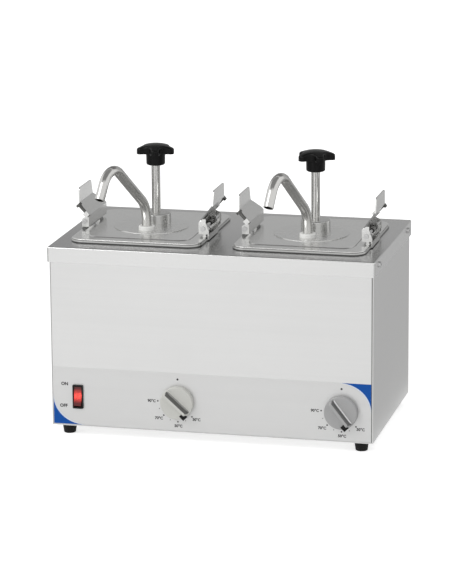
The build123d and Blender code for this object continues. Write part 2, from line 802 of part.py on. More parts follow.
with BuildPart() as latch_lever:
    # bent sheet: web, leaning tab and upright finger plate
    with BuildSketch(Plane.XZ.offset(-latch_far)):
        Polygon(
            (web_x - latch_sheet, web_bottom),
            (web_x, web_bottom),
            (web_x, bend_z),
            (tab_x, tab_z),
            (tab_x, finger_top),
            (tab_x - latch_sheet, finger_top),
            (tab_x - latch_sheet, tab_z + mitre),
            (web_x - latch_sheet, bend_z + mitre),
            align=None,
        )
    extrude(amount=latch_length)
    # the sheet's outline, cut away towards the near end
    with BuildSketch(Plane.YZ.offset(web_x)) as outline:
        Polygon(
            (latch_far, web_bottom - latch_length),
            (latch_far, finger_top),
            (latch_near + finger_cut, finger_top),
            (latch_near + tab_cut, tab_z),
            (latch_near, bend_z + tab_shoulder),
            (latch_near, web_bottom - latch_length),
            align=None,
        )
        fillet(outline.vertices(), finger_round)
    extrude(amount=latch_length, both=True, mode=Mode.INTERSECT)
    # cheek at the near end and a rib like it carry the jaw
    for end, inwards in ((rib_end, 1), (latch_near, -1)):
        with BuildSketch(Plane.XZ.offset(-end)):
            Polygon(
                (web_x, web_bottom),
                (jaw_x, web_bottom),
                (jaw_x, jaw_bottom),
                (jaw_x + jaw_sheet, jaw_bottom),
                (jaw_x + jaw_sheet, pivot_z + cheek_shoulder),
                (pivot_x + cheek_margin, pivot_z + cheek_waist),
                (cheek_top_x + cheek_top_width, cheek_top_z),
                (cheek_top_x, cheek_top_z),
                (web_x, bend_z),
                align=None,
            )
            with Locations((pivot_x, pivot_z)):
                Circle(pin_radius + running_play, mode=Mode.SUBTRACT)
        extrude(amount=inwards * cheek_sheet)
    # narrow ear at the far end
    with BuildSketch(Plane.XZ.offset(-latch_far)):
        Polygon(
            (web_x, web_bottom),
            (pivot_x + cheek_margin, web_bottom),
            (pivot_x + cheek_margin, pivot_z + ear_cheek_top),
            (web_x, bend_z),
            align=None,
        )
        with Locations((pivot_x, pivot_z)):
            Circle(pin_radius + running_play, mode=Mode.SUBTRACT)
    extrude(amount=cheek_sheet)
    # jaw that hangs beside the pan's rim
    with BuildSketch(Plane.XZ.offset(-rib_end)):
        with Locations((jaw_x, jaw_bottom)):
            Rectangle(jaw_sheet, jaw_height, align=(Align.MIN, Align.MIN))
    extrude(amount=rib_end - latch_near)
    # threaded lug for the adjusting screw
    with BuildSketch(adjuster_plane.offset(lug_start)):
        Rectangle(lug_width, lug_depth)
        Circle(adjuster_radius + thread_play, mode=Mode.SUBTRACT)
    extrude(amount=lug_height)

with BuildPart() as latch_screw:
    with BuildSketch(adjuster_plane):
        Circle(adjuster_radius)
    extrude(amount=adjuster_length - adjuster_head_height)
    with BuildSketch(adjuster_plane.offset(adjuster_length - adjuster_head_height)):
        Circle(adjuster_head_radius)
    extrude(amount=adjuster_head_height)

ear_y = cheek_inner - ear_gap
with BuildPart() as latch_bracket:
    with BuildSketch(Plane.XY.offset(band_top)):
        with Locations((lid_width / 2 - bracket_margin - bracket_width / 2, latch_shift)):
            Rectangle(bracket_width, 2 * ear_y)
    extrude(amount=bracket_sheet)
    for end, inwards in ((latch_shift + ear_y, 1), (latch_shift - ear_y, -1)):
        with BuildSketch(Plane.XZ.offset(-end)):
            Polygon(
                (pivot_x + ear_foot, band_top + bracket_sheet),
                (pivot_x + ear_radius, band_top + bracket_sheet),
                (pivot_x + ear_radius, pivot_z),
                (pivot_x - ear_radius, pivot_z),
                align=None,
            )
            with Locations((pivot_x, pivot_z)):
                Circle(ear_radius)
                Circle(pin_radius + thread_play, mode=Mode.SUBTRACT)
        extrude(amount=inwards * bracket_sheet)

with BuildPart() as latch_pin:
    with BuildSketch(Plane.XZ.offset(-latch_far - pin_head_gap)):
        with Locations((pivot_x, pivot_z)):
            Circle(pin_radius)
    extrude(amount=latch_length + 2 * pin_head_gap)
    for end, outwards in ((latch_far + pin_head_gap, -1), (latch_near - pin_head_gap, 1)):
        with BuildSketch(Plane.XZ.offset(-end)):
            with Locations((pivot_x, pivot_z)):
                Circle(pin_head_radius)
        extrude(amount=outwards * pin_head_height)

# The coil sits round the pin; one leg stands on the bracket, the other lies along the web.
coil_angle = radians(coil_start)
coil_height = coil_pitch * (coil_turns + (coil_end - coil_start) / 360)
coil_foot_drop = pivot_level - bracket_sheet - coil_wire - coil_radius * sin(coil_angle)
coil_plane = Plane(origin=(pivot_x, latch_shift - coil_height / 2, pivot_z),
                   x_dir=(cos(coil_angle), 0, -sin(coil_angle)), z_dir=(0, 1, 0))
with BuildPart() as torsion_spring:
    with BuildLine() as coil_path:
        turns = Helix(coil_pitch, coil_height, coil_radius)
        Line(turns @ 0 + (turns % 0) * (coil_foot_drop / cos(coil_angle)), turns @ 0)
        Line(turns @ 1, turns @ 1 + (turns % 1) * coil_leg)
    coil_wire_path = coil_path.line
    with BuildSketch(Plane(origin=coil_wire_path @ 0, z_dir=coil_wire_path % 0)):
        Circle(coil_wire)
    sweep(path=coil_wire_path)

lid_latch_pieces = {
    "latch_brackets": latch_bracket.part,
    "latch_pins": latch_pin.part,
    "latch_springs": torsion_spring.part.moved(coil_plane.location),
}
turned = Location((0, 0, 0), (0, 0, 180))
for side, place in bay_places.items():
    for name, piece in lid_latch_pieces.items():
        with BuildPart() as pair:
            add(piece)
            add(piece.moved(turned))
        write(pair.part.moved(place), f"{name}_{side}")
    for hand, facing in {"west": turned, "east": Location()}.items():
        write(latch_lever.part.moved(place * facing), f"latch_lever_{side}_{hand}")
        write(latch_screw.part.moved(place * facing), f"latch_screw_{side}_{hand}")

# ---------------------------------------------------------------- controls

with BuildPart() as control_overlay:
    with BuildSketch(Plane.XZ.offset(panel_y)):
        with Locations((0, foot_height + (overlay_low + overlay_high) / 2)):
            Rectangle(2 * (front_half - overlay_margin), overlay_high - overlay_low)
        with Locations(*dial_places):
            Circle(bushing_radius + bushing_fit, mode=Mode.SUBTRACT)
        with Locations((switch_x, switch_z)):
            Rectangle(bezel_width - 2 * bezel_lap + 2 * switch_fit,
                      bezel_height - 2 * bezel_lap + 2 * switch_fit, mode=Mode.SUBTRACT)
    extrude(amount=overlay_sheet)
write(control_overlay.part, "control_overlay")

with BuildPart() as thermostat_bodies:
    with BuildSketch(Plane.XZ.offset(inner_y)):
        with Locations(*dial_places):
            RectangleRounded(thermostat_size, thermostat_size, thermostat_corner)
    extrude(amount=-thermostat_depth)
    with BuildSketch(Plane.XZ.offset(inner_y)):
        with Locations(*dial_places):
            Circle(bushing_radius)
    extrude(amount=panel_sheet + overlay_sheet)
    with BuildSketch(Plane.XZ.offset(-overlay_front)):
        with Locations(*dial_places):
            Circle(shaft_radius + shaft_play)
    extrude(amount=-panel_sheet - overlay_sheet - shaft_in_body, mode=Mode.SUBTRACT)
write(thermostat_bodies.part, "thermostat_bodies")


def shaft_end(x, play):
    """D-shaped end of a thermostat's shaft."""
    with Locations((x, dial_z)):
        Circle(shaft_radius + play)
    with Locations((x, dial_z + shaft_radius - shaft_flat + play)):
        Rectangle(4 * shaft_radius, 2 * shaft_radius, align=(Align.CENTER, Align.MIN),
                  mode=Mode.SUBTRACT)


for side, x in dials.items():
    with BuildPart() as thermostat_shaft:
        with BuildSketch(Plane.XZ.offset(-knob_back)):
            with Locations((x, dial_z)):
                Circle(shaft_radius)
        extrude(amount=-knob_gap - panel_sheet - overlay_sheet - shaft_in_body + shaft_end_gap)
        with BuildSketch(Plane.XZ.offset(-knob_back)):
            shaft_end(x, 0)
        extrude(amount=shaft_in_knob)
    write(thermostat_shaft.part, f"thermostat_shaft_{side}")

    with BuildPart() as thermostat_knob:
        with BuildSketch(Plane.XZ.offset(-knob_back)):
            with Locations((x, dial_z)):
                Circle(knob_radius)
        extrude(amount=knob_skirt)
        fillet(thermostat_knob.edges().group_by(Axis.Y)[0], knob_round)
        with BuildSketch(Plane.XZ.offset(knob_skirt - knob_back)):
            with Locations((x, dial_z)):
                RectangleRounded(grip_length, grip_width, grip_corner, rotation=grip_slopes[side])
        extrude(amount=grip_height, taper=grip_taper)
        fillet(thermostat_knob.edges().group_by(Axis.Y)[0], grip_edge_round)
        with BuildSketch(Plane.XZ.offset(-knob_back)):
            shaft_end(x, knob_fit)
        extrude(amount=shaft_in_knob, mode=Mode.SUBTRACT)
    write(thermostat_knob.part, f"thermostat_knob_{side}")

rocker_axis_y = bezel_front + rocker_pivot
with BuildPart() as switch_housing:
    with BuildSketch(Plane.XZ.offset(-overlay_front)):
        with Locations((switch_x, switch_z)):
            RectangleRounded(bezel_width, bezel_height, bezel_corner)
    extrude(amount=bezel_depth)
    with BuildSketch(Plane.XZ.offset(-bezel_front)):
        with Locations((switch_x, switch_z)):
            Rectangle(bezel_width - 2 * bezel_lap, bezel_height - 2 * bezel_lap)
    extrude(amount=-bezel_depth - switch_depth)
    with BuildSketch(Plane.XZ.offset(-bezel_front)):
        with Locations((switch_x, switch_z)):
            Rectangle(cavity_width, cavity_height)
    extrude(amount=switch_floor - bezel_depth - switch_depth, mode=Mode.SUBTRACT)
    with BuildSketch(Plane.YZ.offset(switch_x)):
        with Locations((rocker_axis_y, switch_z)):
            Circle(rocker_pin_radius + running_play)
    extrude(amount=cavity_width / 2 + switch_wall, both=True, mode=Mode.SUBTRACT)
    with BuildSketch(Plane.XZ.offset(-overlay_front - switch_depth)):
        with Locations((switch_x, switch_z)):
            with GridLocations(blade_pitch, blade_pitch, 1, switch_blades):
                Rectangle(blade_width, blade_sheet)
    extrude(amount=-blade_length)
write(switch_housing.part, "switch_housing")

with BuildPart() as switch_rocker:
    with BuildSketch(Plane.YZ.offset(switch_x)):
        with Locations(Location((rocker_axis_y, switch_z, 0), (0, 0, -rocker_tilt))):
            Polygon(
                (-rocker_rise, rocker_reach),
                (-rocker_valley, 0),
                (-rocker_rise, -rocker_reach),
                (rocker_root / 4, -rocker_reach),
                (rocker_root, -rocker_root_reach),
                (rocker_root, rocker_root_reach),
                (rocker_root / 4, rocker_reach),
                align=None,
            )
    extrude(amount=cavity_width / 2 - rocker_gap, both=True)
    with BuildSketch(Plane.YZ.offset(switch_x)):
        with Locations((rocker_axis_y, switch_z)):
            Circle(rocker_pin_radius)
    extrude(amount=cavity_width / 2 - rocker_gap + rocker_pin_length, both=True)
write(switch_rocker.part, "switch_rocker")

# ---------------------------------------------------------------- supply and wiring

thermostat_back = thermostat_depth - inner_y
block_x = gland_x + terminal_shift
block_y = panel_y - terminal_back

with BuildPart() as cable_gland:
    with BuildSketch(Plane.XZ.offset(-panel_y)):
        with Locations((gland_x, gland_z)):
            RegularPolygon(gland_hex / 2, 6, major_radius=False)
    extrude(amount=-gland_flange)
    with BuildSketch(Plane.XZ.offset(-panel_y - gland_flange)):
        with Locations((gland_x, gland_z)):
            Circle(gland_dome_radius)
    extrude(amount=-gland_dome)
    fillet(cable_gland.edges().group_by(Axis.Y)[-1], gland_dome_round)
    with BuildSketch(Plane.XZ.offset(-panel_y)):
        with Locations((gland_x, gland_z)):
            Circle(gland_thread_radius)
    extrude(amount=panel_sheet)
    with BuildSketch(Plane.XZ.offset(-inner_y)):
        with Locations((gland_x, gland_z)):
            RegularPolygon(gland_hex / 2, 6, major_radius=False)
    extrude(amount=gland_nut)
    with BuildSketch(Plane.XZ.offset(gland_nut - inner_y)):
        with Locations((gland_x, gland_z)):
            Circle(gland_bore)
    extrude(amount=-gland_nut - panel_sheet - gland_flange - gland_dome, mode=Mode.SUBTRACT)
write(cable_gland.part, "cable_gland")

with BuildPart() as terminal_block:
    with BuildSketch(Plane.XY.offset(panel_bottom)):
        with Locations((block_x, block_y)):
            Rectangle(terminal_width, terminal_depth)
    extrude(amount=terminal_height)
    with BuildSketch(Plane.XY.offset(panel_bottom + terminal_height)):
        with Locations((block_x, block_y)):
            with GridLocations(terminal_width / terminal_ways, 1, terminal_ways - 1, 1):
                Rectangle(terminal_slot, terminal_depth)
            with GridLocations(terminal_width / terminal_ways, terminal_depth / 2, terminal_ways, 2):
                Circle(screw_radius)
    extrude(amount=-terminal_height / 2, mode=Mode.SUBTRACT)
write(terminal_block.part, "terminal_block")


def round_run(points, radius):
    """A round wire or tube along straight runs with rounded bends."""
    with BuildPart() as run:
        with BuildLine() as route:
            FilletPolyline(*points, radius=wire_bend)
        with BuildSketch(Plane(origin=route.line @ 0, z_dir=route.line % 0)):
            Circle(radius)
        sweep(path=route.line)
    return run.part


sensor_y = bay_y - heater_length / 2 - sensor_gap - sensor_radius
sensor_z = well_underside - sensor_radius - wire_gap
with BuildPart() as temperature_sensors:
    for dial_x in dials.values():
        bulb_end = dial_x - sensor_lead
        with BuildSketch(Plane.YZ.offset(bulb_end)):
            with Locations((sensor_y, sensor_z)):
                Circle(sensor_radius)
        extrude(amount=-sensor_length)
        capillary_z = dial_z + thermostat_size / 4
        add(round_run([
            (bulb_end, sensor_y, sensor_z),
            (dial_x, sensor_y, sensor_z),
            (dial_x, sensor_y, capillary_z),
            (dial_x, thermostat_back, capillary_z),
        ], capillary_radius))
write(temperature_sensors.part, "temperature_sensors")

floor_run = panel_bottom + terminal_height / 2
block_back = block_y + terminal_depth / 2 + wire_gap
block_front = block_y - terminal_depth / 2 - wire_gap
blade_back = overlay_front + switch_depth + blade_length + wire_gap
way = terminal_width / terminal_ways
lead_back = thermostat_back + wire_gap
heater_bottom = well_underside - heater_height - wire_gap
supply_y = inner_y - gland_nut - wire_gap
turn_y = block_back + 2 * wire_bend
wire_rise = 3 * wire_bend

with BuildPart() as wiring:
    # supply, from the gland to the terminal block
    add(round_run([
        (gland_x, supply_y, gland_z),
        (gland_x, turn_y, gland_z),
        (block_x + way / 2, turn_y, gland_z),
        (block_x + way / 2, turn_y, floor_run),
        (block_x + way / 2, block_back, floor_run),
    ], wire_radius))
    # terminal block to the switch
    add(round_run([
        (block_x - 1.5 * way, block_front, floor_run),
        (block_x - 1.5 * way, block_front - wire_rise, floor_run),
        (switch_x, block_front - wire_rise, floor_run),
        (switch_x, blade_back + wire_rise, floor_run),
        (switch_x, blade_back + wire_rise, switch_z),
        (switch_x, blade_back, switch_z),
    ], wire_radius))
    # switch to the left-hand thermostat
    add(round_run([
        (switch_x, blade_back, switch_z - blade_pitch),
        (switch_x, blade_back + 2 * wire_bend, switch_z - blade_pitch),
        (dials["left"], blade_back + 2 * wire_bend, switch_z - blade_pitch),
        (dials["left"], lead_back, switch_z - blade_pitch),
    ], wire_radius))
    # terminal block to the right-hand thermostat
    add(round_run([
        (block_x + 1.5 * way, block_front, floor_run),
        (block_x + 1.5 * way, lead_back + 2 * wire_bend, floor_run),
        (dials["right"], lead_back + 2 * wire_bend, floor_run),
        (dials["right"], lead_back + 2 * wire_bend, switch_z - blade_pitch),
        (dials["right"], lead_back, switch_z - blade_pitch),
    ], wire_radius))
    # each thermostat to its heating plate
    for side, direction in {"left": -1, "right": 1}.items():
        lead_x = dials[side] - thermostat_size / 4
        plate_x = direction * bay_x + heater_width / 4
        plate_y = bay_y - heater_length / 2 + 2 * wire_bend
        lead_z = dial_z + thermostat_size / 4
        add(round_run([
            (lead_x, lead_back, lead_z),
            (lead_x, plate_y, lead_z),
            (plate_x, plate_y, lead_z),
            (plate_x, plate_y, heater_bottom),
        ], wire_radius))
write(wiring.part, "wiring")
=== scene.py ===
from math import cos, pi, radians, sin

import bmesh
import bpy
from bpy.props import FloatProperty, FloatVectorProperty, PointerProperty
from mathutils import Euler, Matrix, Vector


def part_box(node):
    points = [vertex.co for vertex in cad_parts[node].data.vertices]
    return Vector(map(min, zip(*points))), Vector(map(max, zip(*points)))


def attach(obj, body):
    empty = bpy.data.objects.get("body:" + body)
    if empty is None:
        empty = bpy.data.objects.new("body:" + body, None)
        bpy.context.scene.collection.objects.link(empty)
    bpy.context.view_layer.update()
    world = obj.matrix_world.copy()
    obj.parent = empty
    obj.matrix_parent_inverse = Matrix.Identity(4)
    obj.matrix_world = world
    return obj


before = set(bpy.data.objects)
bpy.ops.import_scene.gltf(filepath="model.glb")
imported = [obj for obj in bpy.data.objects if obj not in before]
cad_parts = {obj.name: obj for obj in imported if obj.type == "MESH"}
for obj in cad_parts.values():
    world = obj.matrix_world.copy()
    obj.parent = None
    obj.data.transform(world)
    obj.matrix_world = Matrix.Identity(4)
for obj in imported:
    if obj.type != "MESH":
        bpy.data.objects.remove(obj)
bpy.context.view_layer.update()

bl_info = {
    "name": "Topping Warmer Dressing",
    "version": (1, 0, 0),
    "blender": (4, 5, 0),
    "location": "View3D > Sidebar > Warmer",
    "description": "Dresses the frame of a two-pump topping warmer with its finishes and fittings",
    "category": "Object",
}

MM = 0.001
SIDES = ("left", "right")
HANDS = ("west", "east")

# print on the front film
FILM_LIFT = 0.03 * MM
PRINT_THICKNESS = 0.04 * MM
CAP_SHARE = 0.7             # height of a capital as a share of the font's size
DIAL_ANGLES = [135.0 + 22.5 * step for step in range(7)]
DIAL_LABELS = {"30": (23.0, -20.8), "50": (0.6, -30.0), "70": (-23.6, -21.5), "90": (-32.4, -0.4)}
SWITCH_WORDS = {"on": (-16.7, 15.1), "off": (-18.3, -12.3)}

# black pointers in the skirts of the thermostat knobs
POINTER_SIZE = Vector((7.2, 0.8, 7.2)) * MM
POINTER_REACH = 18.0 * MM
POINTER_ANGLES = {"left": 151.0, "right": 163.1}
SKIRT_DEPTH = 7.5 * MM      # of a knob's skirt, from the film
GRIP_DEPTH = 8.2 * MM       # where a knob's grip starts, from the film
GRIP_SLOPES = {"left": -41.6, "right": -52.0}

# brushing: how tightly the scratches repeat along x, y and z
SHEET_LENGTHWAYS = (9.0, 1100.0, 1100.0)
SHEET_CROSSWAYS = (1100.0, 9.0, 1100.0)
LID_BRUSHING = (30.0, 500.0, 500.0)
LATCH_BRUSHING = (700.0, 12.0, 700.0)


def box_middle(node):
    """Middle of a CAD node's box."""
    low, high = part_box(node)
    return (low + high) / 2


# ---------------------------------------------------------------- sizes and colours


class StageSettings(bpy.types.PropertyGroup):
    """Camera and light of the studio."""

    focal_length: FloatProperty(
        name="Focal length", description="Lens on a sensor whose long side is 36 mm",
        default=189.6, unit="CAMERA")
    camera_place: FloatVectorProperty(
        name="Camera place", description="Camera in the frame's metres",
        default=(0.8623, -3.5512, 1.0615), subtype="TRANSLATION")
    yaw: FloatProperty(name="Yaw", description="Camera's turn to the left",
                       default=radians(13.777), subtype="ANGLE")
    pitch: FloatProperty(name="Pitch", description="Camera's tilt downwards",
                         default=radians(13.85), subtype="ANGLE")
    roll: FloatProperty(name="Roll", description="Camera's roll",
                        default=radians(-0.42), subtype="ANGLE")
    room_light: FloatProperty(name="Room light", description="Light that comes evenly from all around",
                              default=0.72, min=0.0)
    key_power: FloatProperty(name="Key power", description="Softbox in front, up to the left",
                             default=26.0, min=0.0, unit="POWER")
    floor_lift: FloatProperty(name="Floor lift", description="Glow that brings the floor up to white",
                              default=0.62, min=0.0)
    floor_in_steel: FloatProperty(name="Floor in steel", description="Glow of the floor seen in the steel",
                                  default=0.34, min=0.0)
    card_grey: FloatProperty(name="Card grey", description="Brightness of the grey cards seen in the steel",
                             default=0.42, min=0.0)


class PrintSettings(bpy.types.PropertyGroup):
    """Sizes and colours of the printed front."""

    digit_height: FloatProperty(name="Digit height", description="Height of the printed lettering",
                                default=3.3 * MM, unit="LENGTH")
    scale_radius: FloatProperty(name="Scale radius", description="Radius of the tick marks round a knob",
                                default=24.7 * MM, unit="LENGTH")
    dot_rise: FloatProperty(name="Dot rise", description="Off dot above a knob's middle",
                            default=28.0 * MM, unit="LENGTH")
    ink: FloatVectorProperty(name="Ink", description="Colour of the lettering",
                             default=(0.012, 0.012, 0.014), subtype="COLOR", size=3)
    corner_blue: FloatVectorProperty(name="Corner blue", description="Colour of the printed corners",
                                     default=(0.006, 0.085, 0.38), subtype="COLOR", size=3)
    corner_reach: FloatProperty(name="Corner reach", description="Length of a blue corner along an edge",
                                default=35.5 * MM, unit="LENGTH")


class FinishSettings(bpy.types.PropertyGroup):
    """Colours of the metals and plastics."""

    steel: FloatVectorProperty(name="Steel", description="Brushed steel of the cabinet",
                               default=(0.66, 0.66, 0.655), subtype="COLOR", size=3)
    lid_steel: FloatVectorProperty(name="Lid steel", description="Smooth steel of lids and pans",
                                   default=(0.74, 0.74, 0.73), subtype="COLOR", size=3)
    pump_steel: FloatVectorProperty(name="Pump steel", description="Spouts and plunger rods",
                                    default=(0.62, 0.615, 0.60), subtype="COLOR", size=3)
    knob_beige: FloatVectorProperty(name="Left knob", description="Plastic of the left-hand knob",
                                    default=(0.62, 0.62, 0.585), subtype="COLOR", size=3)
    knob_grey: FloatVectorProperty(name="Right knob", description="Plastic of the right-hand knob",
                                   default=(0.40, 0.40, 0.40), subtype="COLOR", size=3)
    rocker_red: FloatVectorProperty(name="Rocker red", description="Clear red plastic of the switch",
                                    default=(0.16, 0.004, 0.005), subtype="COLOR", size=3)


# ---------------------------------------------------------------- shader groups


def new_group(name, inputs, outputs):
    """An empty shader group with named sockets; inputs are (name, type, default)."""
    group = bpy.data.node_groups.new(name, "ShaderNodeTree")
    for label, kind, default in inputs:
        socket = group.interface.new_socket(name=label, in_out="INPUT", socket_type=kind)
        if default is not None:
            socket.default_value = default
    for label, kind in outputs:
        group.interface.new_socket(name=label, in_out="OUTPUT", socket_type=kind)
    return group, group.nodes.new("NodeGroupInput"), group.nodes.new("NodeGroupOutput")


def math_node(tree, operation, first, second=None, third=None):
    """A Math node fed by sockets or plain numbers; returns its output."""
    node = tree.nodes.new("ShaderNodeMath")
    node.operation = operation
    for index, value in enumerate((first, second, third)):
        if isinstance(value, (int, float)):
            node.inputs[index].default_value = value
        elif value is not None:
            tree.links.new(value, node.inputs[index])
    return node.outputs[0]


def noise_node(tree, vector, scale, detail, roughness=0.5):
    """A Noise Texture; returns its Fac output."""
    noise = tree.nodes.new("ShaderNodeTexNoise")
    noise.inputs["Detail"].default_value = detail
    noise.inputs["Roughness"].default_value = roughness
    if isinstance(scale, (int, float)):
        noise.inputs["Scale"].default_value = scale
    else:
        tree.links.new(scale, noise.inputs["Scale"])
    tree.links.new(vector, noise.inputs["Vector"])
    return noise.outputs["Fac"]


def build_brushing_group():
    """Fine parallel scratches: Stretch is how tightly the pattern repeats along each axis."""
    group, entry, leave = new_group(
        "Brushing",
        [("Vector", "NodeSocketVector", None), ("Stretch", "NodeSocketVector", (8.0, 900.0, 900.0)),
         ("Base Roughness", "NodeSocketFloat", 0.3), ("Spread", "NodeSocketFloat", 0.1)],
        [("Shade", "NodeSocketFloat"), ("Roughness", "NodeSocketFloat"), ("Height", "NodeSocketFloat")])
    stretch = group.nodes.new("ShaderNodeVectorMath")
    stretch.operation = "MULTIPLY"
    group.links.new(entry.outputs["Vector"], stretch.inputs[0])
    group.links.new(entry.outputs["Stretch"], stretch.inputs[1])
    fine = noise_node(group, stretch.outputs[0], 1.0, 4.0, 0.7)
    broad = noise_node(group, stretch.outputs[0], 0.12, 3.0, 0.6)
    cloud = noise_node(group, entry.outputs["Vector"], 9.0, 3.0, 0.5)
    lines = math_node(group, "MULTIPLY_ADD", broad, 0.6, math_node(group, "MULTIPLY", fine, 0.4))
    shade = math_node(group, "MULTIPLY_ADD", cloud, 0.35, math_node(group, "MULTIPLY", lines, 0.65))
    centred = math_node(group, "SUBTRACT", shade, 0.5)
    rough = math_node(group, "MULTIPLY_ADD", centred, entry.outputs["Spread"],
                      entry.outputs["Base Roughness"])
    group.links.new(shade, leave.inputs["Shade"])
    group.links.new(rough, leave.inputs["Roughness"])
    group.links.new(lines, leave.inputs["Height"])
    return group


def build_handling_group():
    """Faint wiping marks and prints that handled surfaces carry."""
    group, entry, leave = new_group(
        "Handling",
        [("Vector", "NodeSocketVector", None), ("Scale", "NodeSocketFloat", 14.0),
         ("Amount", "NodeSocketFloat", 0.1), ("Base Roughness", "NodeSocketFloat", 0.3)],
        [("Mask", "NodeSocketFloat"), ("Roughness", "NodeSocketFloat")])
    patches = noise_node(group, entry.outputs["Vector"], entry.outputs["Scale"], 5.0, 0.6)
    ramp = group.nodes.new("ShaderNodeMapRange")
    ramp.inputs["From Min"].default_value = 0.45
    ramp.inputs["From Max"].default_value = 0.75
    group.links.new(patches, ramp.inputs["Value"])
    rough = math_node(group, "MULTIPLY_ADD", ramp.outputs["Result"], entry.outputs["Amount"],
                      entry.outputs["Base Roughness"])
    group.links.new(ramp.outputs["Result"], leave.inputs["Mask"])
    group.links.new(rough, leave.inputs["Roughness"])
    return group


def build_moulding_group():
    """Fine grain and slight shade drift of moulded plastic and rubber."""
    group, entry, leave = new_group(
        "Moulding",
        [("Vector", "NodeSocketVector", None), ("Grain Scale", "NodeSocketFloat", 900.0),
         ("Base Roughness", "NodeSocketFloat", 0.4), ("Spread", "NodeSocketFloat", 0.15)],
        [("Shade", "NodeSocketFloat"), ("Roughness", "NodeSocketFloat"), ("Height", "NodeSocketFloat")])
    grain = noise_node(group, entry.outputs["Vector"], entry.outputs["Grain Scale"], 3.0, 0.6)
    drift = noise_node(group, entry.outputs["Vector"], 30.0, 3.0, 0.5)
    mixed = math_node(group, "MULTIPLY_ADD", drift, 0.6, math_node(group, "MULTIPLY", grain, 0.4))
    centred = math_node(group, "SUBTRACT", mixed, 0.5)
    rough = math_node(group, "MULTIPLY_ADD", centred, entry.outputs["Spread"],
                      entry.outputs["Base Roughness"])
    group.links.new(mixed, leave.inputs["Shade"])
    group.links.new(rough, leave.inputs["Roughness"])
    group.links.new(grain, leave.inputs["Height"])
    return group


def build_lamp_and_highlight_group():
    """Uneven glow of the small lamp behind a clear rocker, strongest at one height; the band is partly the
    lamp's light and partly a painted highlight along the rocker's middle, mottled into glints.
    """
    group, entry, leave = new_group(
        "Lamp glow and highlight",
        [("Vector", "NodeSocketVector", None), ("Middle", "NodeSocketFloat", 0.0),
         ("Reach", "NodeSocketFloat", 0.01), ("Strength", "NodeSocketFloat", 1.0)],
        [("Glow", "NodeSocketFloat")])
    place = group.nodes.new("ShaderNodeSeparateXYZ")
    group.links.new(entry.outputs["Vector"], place.inputs[0])
    offset = math_node(group, "SUBTRACT", place.outputs["Z"], entry.outputs["Middle"])
    share = math_node(group, "DIVIDE", math_node(group, "ABSOLUTE", offset), entry.outputs["Reach"])
    near = math_node(group, "MAXIMUM", math_node(group, "SUBTRACT", 1.0, share), 0.0)
    mottle = math_node(group, "MULTIPLY", noise_node(group, entry.outputs["Vector"], 520.0, 2.0), 1.6)
    glow = math_node(group, "MULTIPLY", math_node(group, "POWER", near, 1.5), mottle)
    group.links.new(math_node(group, "MULTIPLY", glow, entry.outputs["Strength"]), leave.inputs["Glow"])
    return group


def build_grip_group():
    """Masks of a knob's grip along a sloping line, for painted light: its flank painted in shade and the
    line at its foot painted lighter.
    """
    group, entry, leave = new_group(
        "Grip",
        [("Vector", "NodeSocketVector", None), ("Middle", "NodeSocketVector", (0.0, 0.0, 0.0)),
         ("Across", "NodeSocketVector", (1.0, 0.0, 0.0)), ("Start", "NodeSocketFloat", 0.0009),
         ("Foot", "NodeSocketFloat", 0.0036)],
        [("Flank", "NodeSocketFloat"), ("Foot", "NodeSocketFloat")])
    offset = group.nodes.new("ShaderNodeVectorMath")
    offset.operation = "SUBTRACT"
    group.links.new(entry.outputs["Vector"], offset.inputs[0])
    group.links.new(entry.outputs["Middle"], offset.inputs[1])
    across = group.nodes.new("ShaderNodeVectorMath")
    across.operation = "DOT_PRODUCT"
    group.links.new(offset.outputs[0], across.inputs[0])
    group.links.new(entry.outputs["Across"], across.inputs[1])
    depth = group.nodes.new("ShaderNodeSeparateXYZ")
    group.links.new(offset.outputs[0], depth.inputs[0])
    raised = math_node(group, "LESS_THAN", depth.outputs["Y"], 0.0)
    past_start = math_node(group, "GREATER_THAN", across.outputs["Value"], entry.outputs["Start"])
    past_foot = math_node(group, "GREATER_THAN", across.outputs["Value"], entry.outputs["Foot"])
    group.links.new(math_node(group, "MULTIPLY", raised, past_start), leave.inputs["Flank"])
    group.links.new(math_node(group, "MULTIPLY", raised, past_foot), leave.inputs["Foot"])
    return group


def build_band_group():
    """Soft step of the place along one direction, from 0 at Low to 1 at High."""
    group, entry, leave = new_group(
        "Band",
        [("Vector", "NodeSocketVector", None), ("Direction", "NodeSocketVector", (0.0, 0.0, 1.0)),
         ("Low", "NodeSocketFloat", 0.0), ("High", "NodeSocketFloat", 1.0)],
        [("Mask", "NodeSocketFloat")])
    along = group.nodes.new("ShaderNodeVectorMath")
    along.operation = "DOT_PRODUCT"
    group.links.new(entry.outputs["Vector"], along.inputs[0])
    group.links.new(entry.outputs["Direction"], along.inputs[1])
    step = group.nodes.new("ShaderNodeMapRange")
    step.interpolation_type = "SMOOTHSTEP"
    group.links.new(along.outputs["Value"], step.inputs["Value"])
    group.links.new(entry.outputs["Low"], step.inputs["From Min"])
    group.links.new(entry.outputs["High"], step.inputs["From Max"])
    group.links.new(step.outputs["Result"], leave.inputs["Mask"])
    return group


GROUPS = {}


def shader_group(name):
    """A shared group, built the first time that it is asked for."""
    builders = {
        "brushing": build_brushing_group,
        "handling": build_handling_group,
        "moulding": build_moulding_group,
        "lamp_glow_and_highlight": build_lamp_and_highlight_group,
        "grip": build_grip_group,
        "band": build_band_group,
    }
    if name not in GROUPS:
        GROUPS[name] = builders[name]()
    return GROUPS[name]


# ---------------------------------------------------------------- materials


